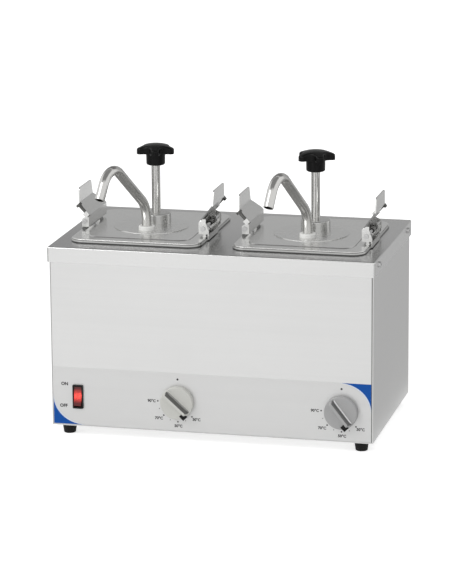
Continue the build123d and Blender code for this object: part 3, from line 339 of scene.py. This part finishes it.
class Material:
    """A material with its Principled shader and Object coordinates at hand."""

    def __init__(self, name):
        self.material = bpy.data.materials.new(name)
        self.material.use_nodes = True
        self.tree = self.material.node_tree
        self.shader = self.tree.nodes["Principled BSDF"]
        self.place = self.tree.nodes.new("ShaderNodeTexCoord").outputs["Object"]

    def set(self, **values):
        """Plain numbers and colours on the shader; underscores stand for spaces."""
        for label, value in values.items():
            socket = self.shader.inputs[label.replace("_", " ")]
            socket.default_value = (*value, 1.0) if isinstance(value, tuple) else value
        return self

    def link(self, output, label):
        """Feeds one of the shader's inputs."""
        self.tree.links.new(output, self.shader.inputs[label])
        return self

    def group(self, name, **values):
        """A shared group fed by Object coordinates, with its own values."""
        node = self.tree.nodes.new("ShaderNodeGroup")
        node.node_tree = shader_group(name)
        for label, value in values.items():
            node.inputs[label.replace("_", " ")].default_value = value
        self.tree.links.new(self.place, node.inputs["Vector"])
        return node

    def mixed(self, mask, first, second):
        """Output of a mix by a mask between two colours, each plain or another output."""
        mix = self.tree.nodes.new("ShaderNodeMix")
        mix.data_type = "RGBA"
        colours = [socket for socket in mix.inputs if socket.type == "RGBA"]
        for socket, colour in zip(colours, (first, second)):
            if isinstance(colour, tuple):
                socket.default_value = (*colour, 1.0)
            else:
                self.tree.links.new(colour, socket)
        self.tree.links.new(mask, mix.inputs["Factor"])
        return [socket for socket in mix.outputs if socket.type == "RGBA"][0]

    def shades(self, mask, dark, light):
        """Base colour between two shades by a mask."""
        return self.link(self.mixed(mask, dark, light), "Base Color")

    def bump(self, height, distance):
        """Relief from a height, distance in metres."""
        node = self.tree.nodes.new("ShaderNodeBump")
        node.inputs["Distance"].default_value = distance
        self.tree.links.new(height, node.inputs["Height"])
        return self.link(node.outputs["Normal"], "Normal")


def tint(colour, factor):
    """A colour made darker or lighter."""
    return tuple(min(channel * factor, 1.0) for channel in colour)


def brushed_metal(name, colour, stretch, roughness, spread=0.12, relief=0.000004, contrast=0.07,
                  bands=()):
    """Metal with fine parallel scratches; each band is a painted shade: (direction, low, high, shade below
    low).
    """
    made = Material(name).set(Metallic=1.0)
    brushing = made.group("brushing", Stretch=stretch, Base_Roughness=roughness, Spread=spread)
    shade = made.mixed(brushing.outputs["Shade"], tint(colour, 1 - contrast), tint(colour, 1 + contrast))
    for direction, low, high, dark in bands:
        band = made.group("band", Direction=direction, Low=low, High=high)
        shade = made.mixed(band.outputs["Mask"], tint(colour, dark), shade)
    made.link(shade, "Base Color")
    made.link(brushing.outputs["Roughness"], "Roughness")
    return made.bump(brushing.outputs["Height"], relief).material


def smooth_metal(name, colour, roughness, scale=16.0, amount=0.1):
    """Metal that is nearly a mirror, with faint wiping marks."""
    made = Material(name).set(Metallic=1.0)
    handling = made.group("handling", Scale=scale, Amount=amount, Base_Roughness=roughness)
    made.shades(handling.outputs["Mask"], colour, tint(colour, 0.94))
    return made.link(handling.outputs["Roughness"], "Roughness").material


def moulded(name, colour, roughness, grain=900.0, relief=0.00001, spread=0.15, **values):
    """Plastic or rubber with a fine moulded grain."""
    made = Material(name).set(**values)
    moulding = made.group("moulding", Grain_Scale=grain, Base_Roughness=roughness, Spread=spread)
    made.shades(moulding.outputs["Shade"], tint(colour, 0.86), tint(colour, 1.14))
    made.link(moulding.outputs["Roughness"], "Roughness")
    return made.bump(moulding.outputs["Height"], relief).material


def dress(material, *nodes):
    """Gives CAD nodes or new pieces one material."""
    for node in nodes:
        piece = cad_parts[node] if isinstance(node, str) else node
        piece.data.materials.clear()
        piece.data.materials.append(material)


# ---------------------------------------------------------------- mesh helpers


def plain_object(name, maker, material):
    """Turns a finished bmesh into an object with one material."""
    mesh = bpy.data.meshes.new(name)
    maker.to_mesh(mesh)
    maker.free()
    mesh.materials.append(material)
    made = bpy.data.objects.new(name, mesh)
    bpy.context.scene.collection.objects.link(made)
    return made


def finish_mesh(name, maker, body, material):
    """Turns a finished bmesh into a piece that rides on a body."""
    piece = plain_object(name, maker, material)
    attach(piece, body)
    return piece


def flat_print(name, curve, place, material):
    """A flat curve or text made a thin piece of print on the film, facing -Y."""
    curve.extrude = PRINT_THICKNESS / 2
    holder = bpy.data.objects.new(name + "_outline", curve)
    mesh = bpy.data.meshes.new_from_object(holder)
    bpy.data.objects.remove(holder)
    mesh.name = name
    mesh.transform(Matrix.Translation(place) @ Matrix.Rotation(pi / 2, 4, "X"))
    mesh.materials.clear()
    mesh.materials.append(material)
    piece = bpy.data.objects.new(name, mesh)
    bpy.context.scene.collection.objects.link(piece)
    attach(piece, "cabinet")
    return piece


# ---------------------------------------------------------------- stage


class WARMER_OT_stage(bpy.types.Operator):
    """Sets the camera, the lights, the cards and the floor"""

    bl_idname = "warmer.stage"
    bl_label = "Stage"

    def execute(self, context):
        settings = context.scene.warmer_stage
        context.scene.view_settings.view_transform = "Standard"
        self.add_camera(context, settings)
        self.add_room(context, settings)
        self.add_floor(settings)
        self.add_key(context, settings)
        self.add_cards(settings)
        return {"FINISHED"}

    def add_camera(self, context, settings):
        """The camera, turned, tilted and rolled about its place."""
        lens = bpy.data.cameras.new("studio_camera")
        lens.lens = settings.focal_length
        lens.clip_end = 50.0
        camera = bpy.data.objects.new("studio_camera", lens)
        turn = (Matrix.Rotation(settings.yaw, 4, "Z") @ Matrix.Rotation(pi / 2 - settings.pitch, 4, "X")
                @ Matrix.Rotation(settings.roll, 4, "Z"))
        camera.matrix_world = Matrix.Translation(settings.camera_place) @ turn
        context.scene.collection.objects.link(camera)
        context.scene.camera = camera

    def add_room(self, context, settings):
        """White to the eye and to steel and glass; softer as a lamp."""
        world = bpy.data.worlds.new("studio_room")
        world.use_nodes = True
        context.scene.world = world
        tree = world.node_tree
        background = tree.nodes["Background"]
        paths = tree.nodes.new("ShaderNodeLightPath")
        seen = math_node(tree, "MAXIMUM", paths.outputs["Is Camera Ray"], paths.outputs["Is Glossy Ray"])
        seen = math_node(tree, "MAXIMUM", seen, paths.outputs["Is Transmission Ray"])
        level = math_node(tree, "MULTIPLY_ADD", seen, 1.0 - settings.room_light, settings.room_light)
        tree.links.new(level, background.inputs["Strength"])
        background.inputs["Color"].default_value = (1.0, 1.0, 1.0, 1.0)

    def add_floor(self, settings):
        """A pale floor that glows to the eye, and less in the steel."""
        made = Material("studio_floor").set(Roughness=0.9, Base_Color=(0.8, 0.8, 0.8))
        made.set(Emission_Color=(1.0, 1.0, 1.0))
        paths = made.tree.nodes.new("ShaderNodeLightPath")
        mirrored = math_node(made.tree, "MULTIPLY", paths.outputs["Is Glossy Ray"],
                             settings.floor_in_steel)
        glow = math_node(made.tree, "MULTIPLY_ADD", paths.outputs["Is Camera Ray"],
                         settings.floor_lift, mirrored)
        made.link(glow, "Emission Strength")
        plate = bmesh.new()
        bmesh.ops.create_grid(plate, x_segments=1, y_segments=1, size=12.0)
        plain_object("studio_floor", plate, made.material)

    def add_key(self, context, settings):
        """A large softbox in front of the object, up to the left."""
        light = bpy.data.lights.new("key_softbox", "AREA")
        light.shape = "RECTANGLE"
        light.size = 1.6
        light.size_y = 1.1
        light.energy = settings.key_power
        lamp = bpy.data.objects.new("key_softbox", light)
        place = Vector((-1.5, -1.9, 2.0))
        aim = (Vector((0.0, 0.0, 0.15)) - place).to_track_quat("-Z", "Y")
        lamp.matrix_world = Matrix.Translation(place) @ aim.to_matrix().to_4x4()
        context.scene.collection.objects.link(lamp)

    def add_cards(self, settings):
        """Grey cards that only the steel sees: behind, above and on the floor round the object."""
        level = (0.0, 0.0, 0.0)
        upright = (pi / 2, 0.0, 0.0)
        turned = (0.0, 0.0, radians(13.6))
        # name: middle, half sizes, turn, brightness as a share of the grey
        cards = {
            "card_back": ((-0.3, 1.6, 0.62), (1.7, 0.6), upright, 1.15),
            "card_back_high": ((-0.3, 1.7, 1.9), (1.9, 0.66), upright, 0.5),
            "card_right": ((0.92, 0.7, 0.003), (0.705, 1.05), level, 1.3),
            "card_ceiling": ((0.0, -0.1, 2.7), (2.0, 1.6), level, 0.75),
            "card_left": ((-1.62, -0.15, 0.003), (1.0, 1.3), level, 1.1),
            "card_front_right": ((1.95, -1.4, 0.003), (1.1, 1.1), level, 1.2),
            "card_front": ((0.42, -1.75, 0.004), (0.15, 0.75), turned, 0.3),
        }
        for name, (place, half, turn, share) in cards.items():
            made = bpy.data.materials.new(name)
            made.use_nodes = True
            tree = made.node_tree
            tree.nodes.remove(tree.nodes["Principled BSDF"])
            glow = tree.nodes.new("ShaderNodeEmission")
            glow.inputs["Color"].default_value = (1.0, 1.0, 1.0, 1.0)
            glow.inputs["Strength"].default_value = settings.card_grey * share
            tree.links.new(glow.outputs[0], tree.nodes["Material Output"].inputs["Surface"])
            plate = bmesh.new()
            bmesh.ops.create_grid(plate, x_segments=1, y_segments=1, size=1.0)
            bmesh.ops.scale(plate, vec=(half[0], half[1], 1.0), verts=plate.verts)
            bmesh.ops.rotate(plate, cent=(0, 0, 0), matrix=Euler(turn).to_matrix(), verts=plate.verts)
            bmesh.ops.translate(plate, vec=place, verts=plate.verts)
            card = plain_object(name, plate, made)
            card.visible_camera = False
            card.visible_diffuse = False
            card.visible_shadow = False
            card.visible_transmission = False


# ---------------------------------------------------------------- cabinet


class WARMER_OT_cabinet(bpy.types.Operator):
    """Finishes the cabinet's sheets, screws and feet"""

    bl_idname = "warmer.cabinet"
    bl_label = "Cabinet"

    def execute(self, context):
        steel = tuple(context.scene.warmer_finish.steel)
        dress(brushed_metal("cabinet_steel_lengthways", steel, SHEET_LENGTHWAYS, 0.30),
              "back_panel", "base_plate")
        dress(brushed_metal("cabinet_steel_crossways", steel, SHEET_CROSSWAYS, 0.32),
              "side_panel_left", "side_panel_right")
        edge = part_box("front_panel")[1].x
        # painted shade: the front sheet darkens along its right edge, where it meets the side panel
        seam = ((-1.0, 0.0, 0.0), 0.3 * MM - edge, 1.3 * MM - edge, 0.3)
        dress(brushed_metal("front_steel", steel, SHEET_LENGTHWAYS, 0.30, bands=[seam]), "front_panel")
        dress(self.deck_metal(steel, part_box("top_cover")[1].z), "top_cover")
        dress(smooth_metal("screw_zinc", (0.55, 0.55, 0.55), 0.28, 90.0, 0.2), "cabinet_screws")
        dress(moulded("foot_rubber", (0.008, 0.008, 0.008), 0.55, 700.0, 0.00003,
                      Specular_IOR_Level=0.2), "rubber_feet")
        self.dress_inside()
        return {"FINISHED"}

    def deck_metal(self, steel, deck):
        """The cover's steel with painted shade: its top is darker than its lip, most of all towards the
        front, standing in for the deck's darker reflection.
        """
        made = Material("deck_steel").set(Metallic=1.0)
        brushing = made.group("brushing", Stretch=(9.0, 900.0, 900.0), Base_Roughness=0.23, Spread=0.1)
        lip = made.mixed(brushing.outputs["Shade"], tint(steel, 0.93), tint(steel, 1.07))
        # painted shade: the top's darker shades, darkest towards the front, stand in for the deck's dark
        # reflection
        back = made.mixed(brushing.outputs["Shade"], tint(steel, 0.82), tint(steel, 0.94))
        front = made.mixed(brushing.outputs["Shade"], tint(steel, 0.62), tint(steel, 0.7))
        depth = made.group("band", Direction=(0.25, 1.0, 0.0), Low=-0.12, High=0.09)
        top = made.mixed(depth.outputs["Mask"], front, back)
        height = made.group("band", Low=deck - 0.3 * MM, High=deck - 0.05 * MM)
        made.link(made.mixed(height.outputs["Mask"], lip, top), "Base Color")
        made.link(brushing.outputs["Roughness"], "Roughness")
        return made.bump(brushing.outputs["Height"], 0.000004).material

    def dress_inside(self):
        """What shows only when a pan is lifted out, or not at all."""
        drawn = (0.60, 0.60, 0.595)
        dress(brushed_metal("well_steel", drawn, (500.0, 500.0, 12.0), 0.36), "inner_well_left",
              "inner_well_right")
        dress(brushed_metal("heater_aluminium", (0.7, 0.7, 0.7), (60.0, 700.0, 60.0), 0.45),
              "heating_plates")
        dress(moulded("mineral_wool", (0.62, 0.55, 0.36), 0.95, 260.0, 0.0006), "insulation_jackets")
        dress(moulded("terminal_plastic", (0.7, 0.68, 0.6), 0.45), "terminal_block")
        dress(moulded("wire_sleeve", (0.05, 0.05, 0.05), 0.5, 400.0), "wiring")
        dress(smooth_metal("sensor_copper", (0.75, 0.42, 0.28), 0.3, 60.0), "temperature_sensors")
        dress(moulded("thermostat_plastic", (0.03, 0.03, 0.03), 0.4), "thermostat_bodies")
        dress(moulded("gland_plastic", (0.025, 0.025, 0.025), 0.42, 700.0), "cable_gland")


# ---------------------------------------------------------------- front


class WARMER_OT_front(bpy.types.Operator):
    """Prints the front film and finishes the switch and the knobs"""

    bl_idname = "warmer.front"
    bl_label = "Front"

    def execute(self, context):
        self.print_settings = context.scene.warmer_print
        self.finish = context.scene.warmer_finish
        self.film_low, self.film_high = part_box("control_overlay")
        self.ink = moulded("print_ink", tuple(self.print_settings.ink), 0.5, 2000.0, 0.000002)
        self.blue = moulded("print_blue", tuple(self.print_settings.corner_blue), 0.42, 2000.0, 0.000002,
                            Specular_IOR_Level=0.15)
        self.halo = moulded("print_halo", (0.66, 0.72, 0.82), 0.4, 2000.0, 0.000002)
        self.dress_film()
        self.add_corners()
        for side in SIDES:
            self.add_scale(side)
            self.add_diamond(side)
        self.add_switch_words()
        self.dress_switch()
        self.dress_knobs()
        return {"FINISHED"}

    def on_film(self, x, z):
        """A place on the film's front."""
        return Vector((x, self.film_low.y - FILM_LIFT, z))

    def dress_film(self):
        """A pale film with a faint brushed print."""
        film = Material("front_film").set(Roughness=0.36, Metallic=0.55)
        brushing = film.group("brushing", Stretch=(14.0, 900.0, 900.0), Base_Roughness=0.36, Spread=0.1)
        film.shades(brushing.outputs["Shade"], (0.62, 0.62, 0.615), (0.69, 0.69, 0.685))
        film.link(brushing.outputs["Roughness"], "Roughness")
        film.bump(brushing.outputs["Height"], 0.000003)
        dress(film.material, "control_overlay")

    def word(self, name, text, x, z, height):
        """One printed word, centred on its place."""
        letters = bpy.data.curves.new(name, "FONT")
        letters.body = text
        letters.size = height / CAP_SHARE
        letters.align_x = "CENTER"
        letters.align_y = "CENTER"
        letters.resolution_u = 3
        letters.offset = 0.06 * height
        flat_print(name, letters, self.on_film(x, z), self.ink)

    def mark(self, name, outline, x, z, material):
        """A filled flat shape from bezier points (x, z), each with its two handles."""
        curve = bpy.data.curves.new(name, "CURVE")
        curve.dimensions = "2D"
        curve.fill_mode = "BOTH"
        curve.resolution_u = 12
        spline = curve.splines.new("BEZIER")
        spline.bezier_points.add(len(outline) - 1)
        spline.use_cyclic_u = True
        for point, (knot, before, after) in zip(spline.bezier_points, outline):
            point.co = (*knot, 0.0)
            point.handle_left = (*before, 0.0)
            point.handle_right = (*after, 0.0)
        return flat_print(name, curve, self.on_film(x, z), material)

    def add_corners(self):
        """Blue corners, bottom left and top right, each behind a pale arc."""
        reach = self.print_settings.corner_reach
        corners = {
            "bottom_left": (self.film_low.x, self.film_low.z, 1.0),
            "top_right": (self.film_high.x, self.film_high.z, -1.0),
        }
        for name, (x, z, sign) in corners.items():
            for layer, size, width, material in (("halo", reach * 1.1, 0.92, self.halo),
                                                 ("blue", reach, 0.88, self.blue)):
                far_x = (sign * size, 0.0)
                far_z = (0.0, sign * size * width)
                bend_x = (sign * size * 0.42, sign * size * 0.05)
                bend_z = (sign * size * 0.05, sign * size * 0.42)
                outline = [
                    ((0.0, 0.0), (0.0, 0.0), (0.0, 0.0)),
                    (far_x, far_x, bend_x),
                    (far_z, bend_z, far_z),
                ]
                piece = self.mark(f"corner_{layer}_{name}", outline, x, z, material)
                if layer == "blue":
                    piece.data.transform(Matrix.Translation((0.0, -FILM_LIFT, 0.0)))

    def add_scale(self, side):
        """Off dot, ticks and degrees round one knob."""
        middle = box_middle(f"thermostat_knob_{side}")
        radius = self.print_settings.scale_radius
        self.dot(f"off_dot_{side}", middle.x, middle.z + self.print_settings.dot_rise, 1.3 * MM)
        for step, degrees in enumerate(DIAL_ANGLES):
            angle = radians(degrees)
            size = (1.0 if step % 2 == 0 else 0.55) * MM
            self.dot(f"tick_{side}_{step}", middle.x + radius * sin(angle),
                     middle.z + radius * cos(angle), size)
        for degrees, (x, z) in DIAL_LABELS.items():
            self.word(f"degrees_{side}_{degrees}", degrees + "°C", middle.x + x * MM,
                      middle.z + z * MM, self.print_settings.digit_height)

    def dot(self, name, x, z, radius):
        """A small printed disc."""
        disc = bmesh.new()
        bmesh.ops.create_cone(disc, cap_ends=True, segments=20, radius1=radius, radius2=radius,
                              depth=PRINT_THICKNESS)
        bmesh.ops.rotate(disc, cent=(0, 0, 0), matrix=Matrix.Rotation(pi / 2, 3, "X"), verts=disc.verts)
        bmesh.ops.translate(disc, vec=self.on_film(x, z), verts=disc.verts)
        finish_mesh(name, disc, "cabinet", self.ink)

    def add_switch_words(self):
        """The two words to the left of the switch, a little larger than the degrees."""
        middle = box_middle("switch_housing")
        for word, (x, z) in SWITCH_WORDS.items():
            self.word(f"word_{word}", word.upper(), middle.x + x * MM, middle.z + z * MM,
                      self.print_settings.digit_height * 1.15)

    def add_diamond(self, side):
        """Black pointer set in the rim of a knob's skirt."""
        middle = box_middle(f"thermostat_knob_{side}")
        skirt_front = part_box(f"thermostat_knob_{side}")[1].y - SKIRT_DEPTH
        angle = radians(POINTER_ANGLES[side])
        stone = bmesh.new()
        bmesh.ops.create_cube(stone, size=1.0)
        bmesh.ops.scale(stone, vec=POINTER_SIZE, verts=stone.verts)
        bmesh.ops.bevel(stone, geom=stone.edges[:], offset=0.25 * MM, segments=2, affect="EDGES",
                        profile=0.5, material=-1)
        bmesh.ops.rotate(stone, cent=(0, 0, 0), matrix=Matrix.Rotation(pi / 4, 3, "Y"),
                         verts=stone.verts)
        place = Vector((middle.x + POINTER_REACH * sin(angle), skirt_front - 0.2 * MM,
                        middle.z + POINTER_REACH * cos(angle)))
        bmesh.ops.translate(stone, vec=place, verts=stone.verts)
        finish_mesh(f"pointer_{side}", stone, f"dial_{side}",
                    moulded(f"pointer_black_{side}", (0.006, 0.006, 0.006), 0.4, Specular_IOR_Level=0.2))

    def dress_switch(self):
        """Black housing and a clear red rocker with its lamp lit, its glow band also painting a highlight
        across the rocker's middle.
        """
        dress(moulded("switch_black", (0.008, 0.008, 0.008), 0.32, 800.0, Specular_IOR_Level=0.2),
              "switch_housing")
        rocker = Material("rocker_red").set(Emission_Color=(1.0, 0.07, 0.05))
        moulding = rocker.group("moulding", Grain_Scale=260.0, Base_Roughness=0.16, Spread=0.1)
        rocker.shades(moulding.outputs["Shade"], tint(self.finish.rocker_red, 0.4),
                      tuple(self.finish.rocker_red))
        rocker.link(moulding.outputs["Roughness"], "Roughness")
        # the glow band is the lamp's light together with a painted highlight
        lamp = rocker.group("lamp_glow_and_highlight", Middle=box_middle("switch_rocker").z + 1.0 * MM,
                            Reach=9.0 * MM, Strength=1.9)
        rocker.link(lamp.outputs["Glow"], "Emission Strength")
        dress(rocker.material, "switch_rocker")

    def dress_knobs(self):
        """Each knob with painted shade on its grip's flank and a painted highlight on the line at its foot.
        """
        self.dress_knob("left", tuple(self.finish.knob_beige), (0.10, 0.10, 0.095), (0.30, 0.30, 0.29))
        self.dress_knob("right", tuple(self.finish.knob_grey), (0.12, 0.12, 0.12), (0.9, 0.9, 0.9))
        shaft = brushed_metal("shaft_steel", (0.6, 0.6, 0.6), (600.0, 20.0, 600.0), 0.3)
        dress(shaft, "thermostat_shaft_left", "thermostat_shaft_right")

    def dress_knob(self, side, colour, painted_flank_shade, painted_foot_highlight):
        """Moulded knob whose grip has one flank darkened by painted shade, with a lighter line at its foot
        that is a painted highlight.
        """
        middle = box_middle(f"thermostat_knob_{side}")
        grip_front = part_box(f"thermostat_knob_{side}")[1].y - GRIP_DEPTH
        slope = radians(GRIP_SLOPES[side])
        made = Material(f"knob_{side}")
        moulding = made.group("moulding", Grain_Scale=800.0, Base_Roughness=0.42, Spread=0.15)
        grip = made.group("grip", Middle=(middle.x, grip_front, middle.z),
                          Across=(-sin(slope), 0.0, cos(slope)))
        disc = made.mixed(moulding.outputs["Shade"], tint(colour, 0.92), tint(colour, 1.08))
        # painted shade on the grip's flank, then a painted highlight at its foot
        flank = made.mixed(grip.outputs["Flank"], disc, painted_flank_shade)
        made.link(made.mixed(grip.outputs["Foot"], flank, painted_foot_highlight), "Base Color")
        made.link(moulding.outputs["Roughness"], "Roughness")
        made.bump(moulding.outputs["Height"], 0.000012)
        dress(made.material, f"thermostat_knob_{side}")


# ---------------------------------------------------------------- pans, lids and pumps


class WARMER_OT_lids(bpy.types.Operator):
    """Finishes the pans and the lids"""

    bl_idname = "warmer.lids"
    bl_label = "Pans and lids"

    def execute(self, context):
        steel = tuple(context.scene.warmer_finish.lid_steel)
        for side in SIDES:
            low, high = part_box(f"lid_{side}")
            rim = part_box(f"food_pan_{side}")[1].z
            dress(self.lid_metal(side, steel, low.z, high.z), f"lid_{side}")
            dress(brushed_metal(f"flange_steel_{side}", steel, LID_BRUSHING, 0.27, 0.06, 0.0000006, 0.03),
                  f"pump_flange_{side}")
            dress(self.pan_metal(side, steel, rim), f"food_pan_{side}")
        return {"FINISHED"}

    def lid_metal(self, side, steel, bottom, top):
        """Lid steel with painted shade: dark at the seam below, and darker on the raised step, where it
        damps the step's highlight.
        """
        made = Material(f"lid_steel_{side}").set(Metallic=1.0)
        brushing = made.group("brushing", Stretch=LID_BRUSHING, Base_Roughness=0.23, Spread=0.06)
        plain = made.mixed(brushing.outputs["Shade"], tint(steel, 0.97), tint(steel, 1.03))
        # painted shade on the slope of the raised step, damping its highlight
        flat = made.group("band", Low=top - 0.12 * MM, High=top - 0.02 * MM)
        stepped = made.mixed(flat.outputs["Mask"], tint(steel, 0.62), plain)
        step = made.group("band", Low=top - 0.68 * MM, High=top - 0.62 * MM)
        raised = made.mixed(step.outputs["Mask"], plain, stepped)
        # painted shade along the seam at the lid's bottom edge
        seam = made.group("band", Low=bottom + 0.02 * MM, High=bottom + 0.2 * MM)
        made.link(made.mixed(seam.outputs["Mask"], tint(steel, 0.25), raised), "Base Color")
        made.link(brushing.outputs["Roughness"], "Roughness")
        return made.bump(brushing.outputs["Height"], 0.0000006).material

    def pan_metal(self, side, steel, rim):
        """Pan steel whose outer rim is dark with painted shade low down, where it sits on the deck."""
        made = Material(f"pan_steel_{side}").set(Metallic=1.0)
        brushing = made.group("brushing", Stretch=LID_BRUSHING, Base_Roughness=0.2, Spread=0.06)
        plain = made.mixed(brushing.outputs["Shade"], tint(steel, 0.95), tint(steel, 1.05))
        # painted shade: a dark band low on the rim's outer face
        shade_band = made.group("band", Low=rim - 3.6 * MM, High=rim - 3.1 * MM)
        top = made.group("band", Low=rim - 2.1 * MM, High=rim - 1.5 * MM)
        shaded = made.mixed(top.outputs["Mask"], tint(steel, 0.22), plain)
        made.link(made.mixed(shade_band.outputs["Mask"], plain, shaded), "Base Color")
        made.link(brushing.outputs["Roughness"], "Roughness")
        return made.bump(brushing.outputs["Height"], 0.000001).material


class WARMER_OT_pumps(bpy.types.Operator):
    """Finishes the pumps, spouts and pump knobs"""

    bl_idname = "warmer.pumps"
    bl_label = "Pumps"

    def execute(self, context):
        steel = tuple(context.scene.warmer_finish.pump_steel)
        tube = brushed_metal("pump_steel", steel, (500.0, 500.0, 30.0), 0.17, 0.05, 0.0000004, 0.03)
        polished = smooth_metal("collar_polish", (0.56, 0.56, 0.55), 0.24)
        white = moulded("spout_collar_white", (0.86, 0.86, 0.84), 0.35)
        black = moulded("pump_knob_black", (0.004, 0.004, 0.004), 0.3, 500.0, 0.000008, 0.1,
                        Specular_IOR_Level=0.15)
        seal = moulded("seal_rubber", (0.03, 0.03, 0.03), 0.6)
        spring = smooth_metal("spring_wire", (0.16, 0.16, 0.155), 0.3, 80.0)
        for side in SIDES:
            dress(tube, f"spout_tube_{side}", f"plunger_rod_{side}", f"pump_cylinder_{side}")
            dress(polished, f"rod_collar_{side}")
            dress(white, f"spout_collar_{side}")
            dress(black, f"pump_knob_{side}")
            dress(seal, f"piston_seal_{side}")
            dress(spring, f"return_spring_{side}", f"latch_springs_{side}")
        return {"FINISHED"}


class WARMER_OT_latches(bpy.types.Operator):
    """Finishes the latches with their brackets, pins and adjusting screws"""

    bl_idname = "warmer.latches"
    bl_label = "Latches"

    def execute(self, context):
        steel = (0.70, 0.70, 0.69)
        sheet = brushed_metal("latch_steel", steel, LATCH_BRUSHING, 0.26, 0.1)
        pin = smooth_metal("latch_pin_steel", (0.6, 0.6, 0.6), 0.2, 80.0)
        screw = smooth_metal("adjuster_steel", (0.13, 0.13, 0.125), 0.3, 120.0, 0.2)
        for side in SIDES:
            middle = box_middle(f"lid_{side}").x
            # the bracket on the lid's left half is darkened: painted shadow under the left-hand lever
            shade_band = ((1.0, 0.0, 0.0), middle - 1.0 * MM, middle + 1.0 * MM, 0.2)
            dress(brushed_metal(f"bracket_steel_{side}", steel, LATCH_BRUSHING, 0.26, 0.1, bands=[shade_band]),
                  f"latch_brackets_{side}")
            dress(pin, f"latch_pins_{side}")
            for hand in HANDS:
                dress(sheet, f"latch_lever_{side}_{hand}")
                dress(screw, f"latch_screw_{side}_{hand}")
        return {"FINISHED"}


# ---------------------------------------------------------------- panel and registration

STEPS = (WARMER_OT_stage, WARMER_OT_cabinet, WARMER_OT_front, WARMER_OT_lids, WARMER_OT_pumps,
         WARMER_OT_latches)
SETTINGS = {"warmer_stage": StageSettings, "warmer_print": PrintSettings, "warmer_finish": FinishSettings}


class WARMER_PT_steps(bpy.types.Panel):
    """Lists the steps that dress the warmer"""

    bl_label = "Topping Warmer"
    bl_idname = "WARMER_PT_steps"
    bl_space_type = "VIEW_3D"
    bl_region_type = "UI"
    bl_category = "Warmer"

    def draw(self, context):
        for step in STEPS:
            self.layout.operator(step.bl_idname)


def register():
    for settings in SETTINGS.values():
        bpy.utils.register_class(settings)
    for name, settings in SETTINGS.items():
        setattr(bpy.types.Scene, name, PointerProperty(type=settings))
    for step in STEPS:
        bpy.utils.register_class(step)
    bpy.utils.register_class(WARMER_PT_steps)


def unregister():
    bpy.utils.unregister_class(WARMER_PT_steps)
    for step in reversed(STEPS):
        bpy.utils.unregister_class(step)
    for name, settings in SETTINGS.items():
        delattr(bpy.types.Scene, name)
        bpy.utils.unregister_class(settings)


def main():
    register()
    bpy.ops.warmer.stage()
    bpy.ops.warmer.cabinet()
    bpy.ops.warmer.front()
    bpy.ops.warmer.lids()
    bpy.ops.warmer.pumps()
    bpy.ops.warmer.latches()


if __name__ == "__main__":
    main()
